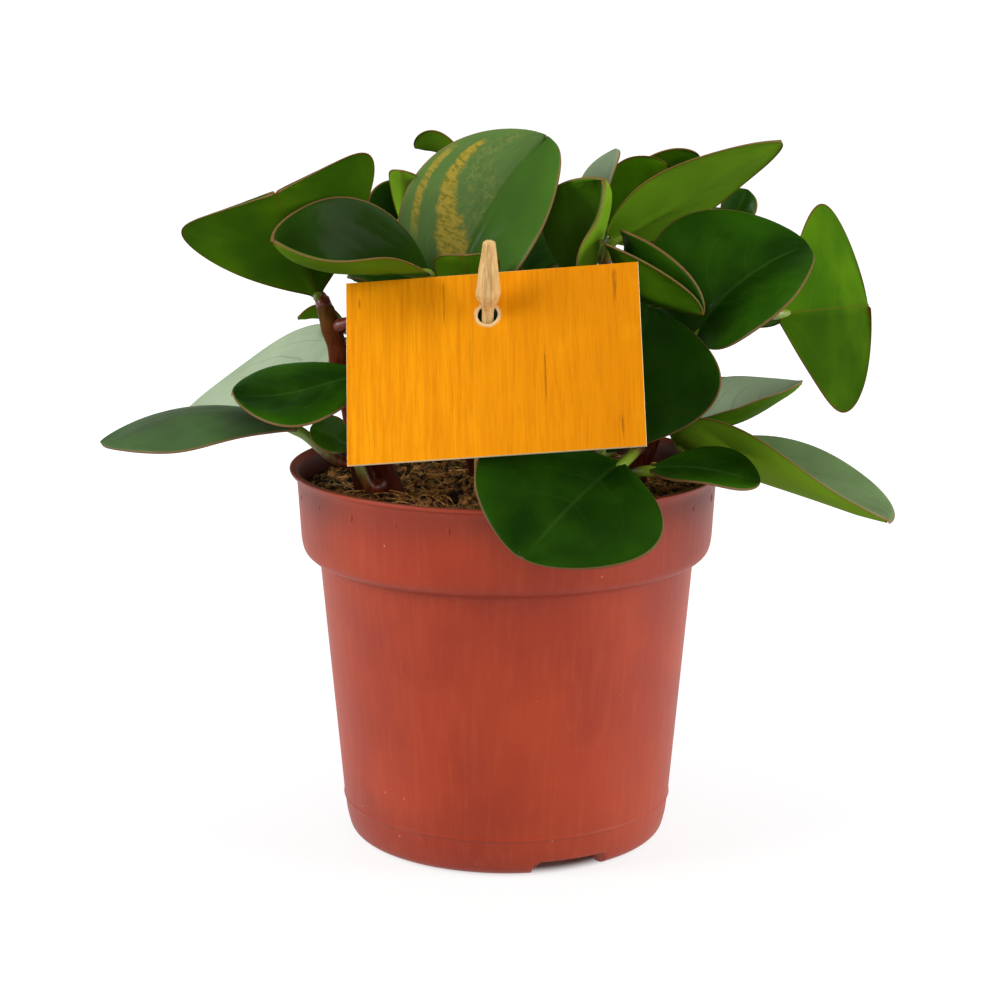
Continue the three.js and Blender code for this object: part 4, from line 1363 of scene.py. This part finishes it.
def makeCard(finish):
    # rings of points from the hole to the outline on the front, and back again on the back
    rays = card["rays"]
    turns = 2 * np.pi * (np.arange(rays) + 0.5) / rays
    hole = np.array(card["hole"])
    heading = np.stack([np.cos(turns), np.sin(turns)], -1)
    half = np.array([card["width"], card["height"]]) / 2
    reach = np.min(np.where(heading > 0, half - hole, -half - hole) / heading, axis=1)
    for corner in ((1, 1), (-1, 1), (-1, -1), (1, -1)):  # the nearest ray turns to each corner
        to = half * corner - hole
        near = np.argmin(np.abs(np.angle(np.exp(1j * (turns - math.atan2(to[1], to[0]))))))
        heading[near] = unit(to)
        reach[near] = np.linalg.norm(to)
    edge = card["thick"] / 2
    bevel = card["bevel"]
    inner = card["holeRadius"]
    collar = inner + card["holeCollar"]
    rings = [(hole + inner * heading, bevel - edge)]
    rings += [(hole + radius * heading, -edge) for radius in (inner + bevel, collar)]
    for share in (0.35, 0.7, 1.0):
        pulled = np.maximum(reach - bevel, 0) * share + (1 - share) * collar
        rings.append((hole + pulled[:, None] * heading, -edge))
    rings.append((hole + reach[:, None] * heading, bevel - edge))
    rings += [(flat, -depth) for flat, depth in rings[::-1]]
    grid = np.array([
        np.stack([flat[:, 0], np.full(rays, depth), flat[:, 1]], -1) for flat, depth in rings
    ])
    first = np.arange(rays)
    after = (first + 1) % rays
    last = (len(grid) - 1) * rays
    faces = loftFaces(len(grid), rays, closed=False)
    faces += np.stack([last + first, last + after, after, first], 1).tolist()
    local = grid.reshape(-1, 3)
    faces = turnedOut(local, faces)
    matrix = np.array(cardMatrix())
    points = local @ matrix[:3, :3].T + matrix[:3, 3]
    values = {"cardPlace": local * millimetre}
    piece = makeMesh("cardBoard", points, faces, [finish], values=values, smooth=False)
    return finished(piece, "printed_card", "card")


stake = {
    "direction": (0.02, -0.3, 0.95),
    "sides": 8,
    "cutDepth": 0.05,       # unevenness of the whittled facets, as a share of the radius
    "cutShift": 0.35,       # and of the heights of their ends
    "seed": 5,
    "bevel": 0.00022,
    "dark": (192, 148, 84),
    "light": (226, 192, 132),
    "broad": (190, 146, 78),
    "earth": (92, 66, 40),
    # radius and height above the card's hole
    "profile": [
        (1.2, -66), (2.4, -61), (3, -58), (3, -30), (3, -7.6), (2.6, -6.4), (1.6, -4.2), (1.6, 0),
        (1.6, 1.6), (1.9, 2.6), (2.9, 4.6), (3.35, 6.2), (3.3, 7.6), (3.0, 10), (2.7, 13),
        (2.25, 16.6), (1.95, 19.2), (1.75, 20.2), (1.3, 20.6),
    ],
}


def stakeFinish():
    # grainPlace is the place on the upright stake in metres, with its length along Z
    finish = Finish("whittledWood")
    place = finish.attribute("grainPlace", 1)
    streak = finish.grain(finish.stretched(place, (1, 1, 0.07)), 0.0006, 4.0, 0.6)
    broad = finish.grain(finish.stretched(place, (1, 1, 0.2)), 0.002, 3.0)
    shade = finish.blend(streak.step(0.3, 0.7), stake["dark"], stake["light"])
    shade = finish.blend(broad.step(0.5, 0.75) * 0.45, shade, stake["broad"])
    low = 1 - finish.parts(finish.place())[2].step(0.100, 0.108)
    shade = finish.blend(low * 0.7, shade, stake["earth"])
    finish.bump(streak, 0.0002, 0.7)
    return finish.wear(Base_Color=shade, Roughness=0.62, IOR=1.4)


def makeStake(finish):
    rng = np.random.default_rng(stake["seed"])
    sides = stake["sides"]
    direction = unit(np.array(stake["direction"]))
    neck = np.array(cardMatrix() @ Vector((card["hole"][0], 0, card["hole"][1])))
    turn = np.array(Vector((0, 0, 1)).rotation_difference(Vector(direction)).to_matrix())
    turns = 2 * np.pi * (np.arange(sides) + 0.5) / sides
    rows = []
    for radius, height in stake["profile"]:
        radii = radius * (1 + stake["cutDepth"] * rng.uniform(-1, 1, sides))
        heights = np.full(sides, float(height))
        if 0 < height < 20:
            heights += stake["cutShift"] * rng.uniform(-1, 1, sides)
        rows.append(np.stack([radii * np.cos(turns), radii * np.sin(turns), heights], -1))
    grid = np.array(rows)
    ends = [(0, 0, stake["profile"][0][1] - 0.5), (0, 0, stake["profile"][-1][1] + 0.1)]
    local = np.vstack([grid.reshape(-1, 3), ends])
    faces = turnedOut(local, loftFaces(len(grid), sides))
    points = local @ turn.T + neck
    values = {"grainPlace": local * millimetre}
    piece = makeMesh("stakeWood", points, faces, [finish], values=values, smooth=False)
    bevel = piece.modifiers.new("edges", "BEVEL")
    bevel.width = stake["bevel"]
    bevel.segments = 2
    bevel.limit_method = "ANGLE"
    bevel.angle_limit = math.radians(12)
    applied(piece)
    return finished(piece, "pale_wood", "stake")


makeCard(cardFinish())
makeStake(stakeFinish())
print("stage: card and stake")

studio = {
    "floor": (128, 128, 128),
    # grey of the painted shadow round the pot, and the dark painted shadow under it
    "floorShadowNear": (232, 232, 232),
    "shadowUnderPot": (22, 17, 14),
    "ambient": 0.10,
    "below": 0.6,
    "backdrop": 0.32,
    "sides": 0.65,
    # place, power, size, and whether it shows in gloss
    "keyLeft": ((-1.0, -0.35, 0.7), 11.5, (0.6, 0.8), True),
    "fillRight": ((1.1, -0.3, 0.5), 10.0, (0.6, 0.8), True),
    "top": ((0.1, 0.5, 1.3), 8.0, (1.2, 0.8), False),
    "front": ((0.1, -1.3, 0.6), 7.2, (1.0, 0.8), False),
}


def makeFloor():
    # a pale floor that glows nearly white, with a painted shadow round the pot and a dark painted
    # shadow under it
    finish = Finish("studioFloor")
    x, y, _ = finish.parts(finish.place())
    distance = (x * x + y * y) ** 0.5
    # painted shadow: the glow is greyer near the pot and nearly black under it
    glow = finish.blend(distance.step(0.04, 0.7), studio["floorShadowNear"], (255, 255, 255))
    glow = finish.blend(distance.step(0.036, 0.043), studio["shadowUnderPot"], glow)
    shade = colour(studio["floor"])
    finish.wear(Base_Color=shade, Roughness=0.6, Emission_Color=glow, Emission_Strength=1.0)
    mesh = bpy.data.meshes.new("floor")
    reach = 6.0
    corners = [(-reach, -reach, 0), (reach, -reach, 0), (reach, reach, 0), (-reach, reach, 0)]
    mesh.from_pydata(corners, [], [(0, 1, 2, 3)])
    mesh.materials.append(finish.material)
    floor = bpy.data.objects.new("floor", mesh)
    scene.collection.objects.link(floor)
    floor.visible_diffuse = False


def makeWorld():
    # a dark room with a bright low backdrop, seen by the camera as plain white
    world = bpy.data.worlds.new("studio")
    world.use_nodes = True
    tree = Tree(world.node_tree)
    heading = tree.add("ShaderNodeTexCoord", result=0)
    apart = tree.add("ShaderNodeSeparateXYZ", None, {0: heading})
    across = Value(tree, apart.socket.node.outputs[0])
    depth = Value(tree, apart.socket.node.outputs[1])
    height = Value(tree, apart.socket.node.outputs[2])
    backdrop = depth.step(0.1, 0.7) * (1 - height.step(0.15, 0.55))
    beside = abs(across).step(0.6, 0.95) * (1 - height.step(0.3, 0.7))
    strength = studio["ambient"] + backdrop * (studio["backdrop"] - studio["ambient"])
    strength = strength + beside * (studio["sides"] - studio["ambient"])
    low = 1 - height.step(-0.25, 0.0)
    strength = strength * (1 - low) + low * studio["below"]
    seen = tree.add("ShaderNodeLightPath", result=0)
    strength = strength * (1 - seen) + seen * 1.0
    glow = tree.add("ShaderNodeBackground", None, {"Color": (1, 1, 1, 1), "Strength": strength})
    leaving = tree.nodes.new("ShaderNodeOutputWorld")
    tree.links.new(glow.socket, leaving.inputs[0])
    scene.world = world


def makeLight(name):
    place, power, size, glossy = studio[name]
    data = bpy.data.lights.new(name, "AREA")
    data.energy = power
    data.shape = "RECTANGLE"
    data.size, data.size_y = size
    light = bpy.data.objects.new(name, data)
    light.location = place
    towards = Vector((0, 0, 0.11)) - Vector(place)
    light.rotation_euler = towards.to_track_quat("-Z", "Y").to_euler()
    light.visible_glossy = glossy
    scene.collection.objects.link(light)


makeFloor()
makeWorld()
for name in ("keyLeft", "fillRight", "top", "front"):
    makeLight(name)
print("stage: floor and light")
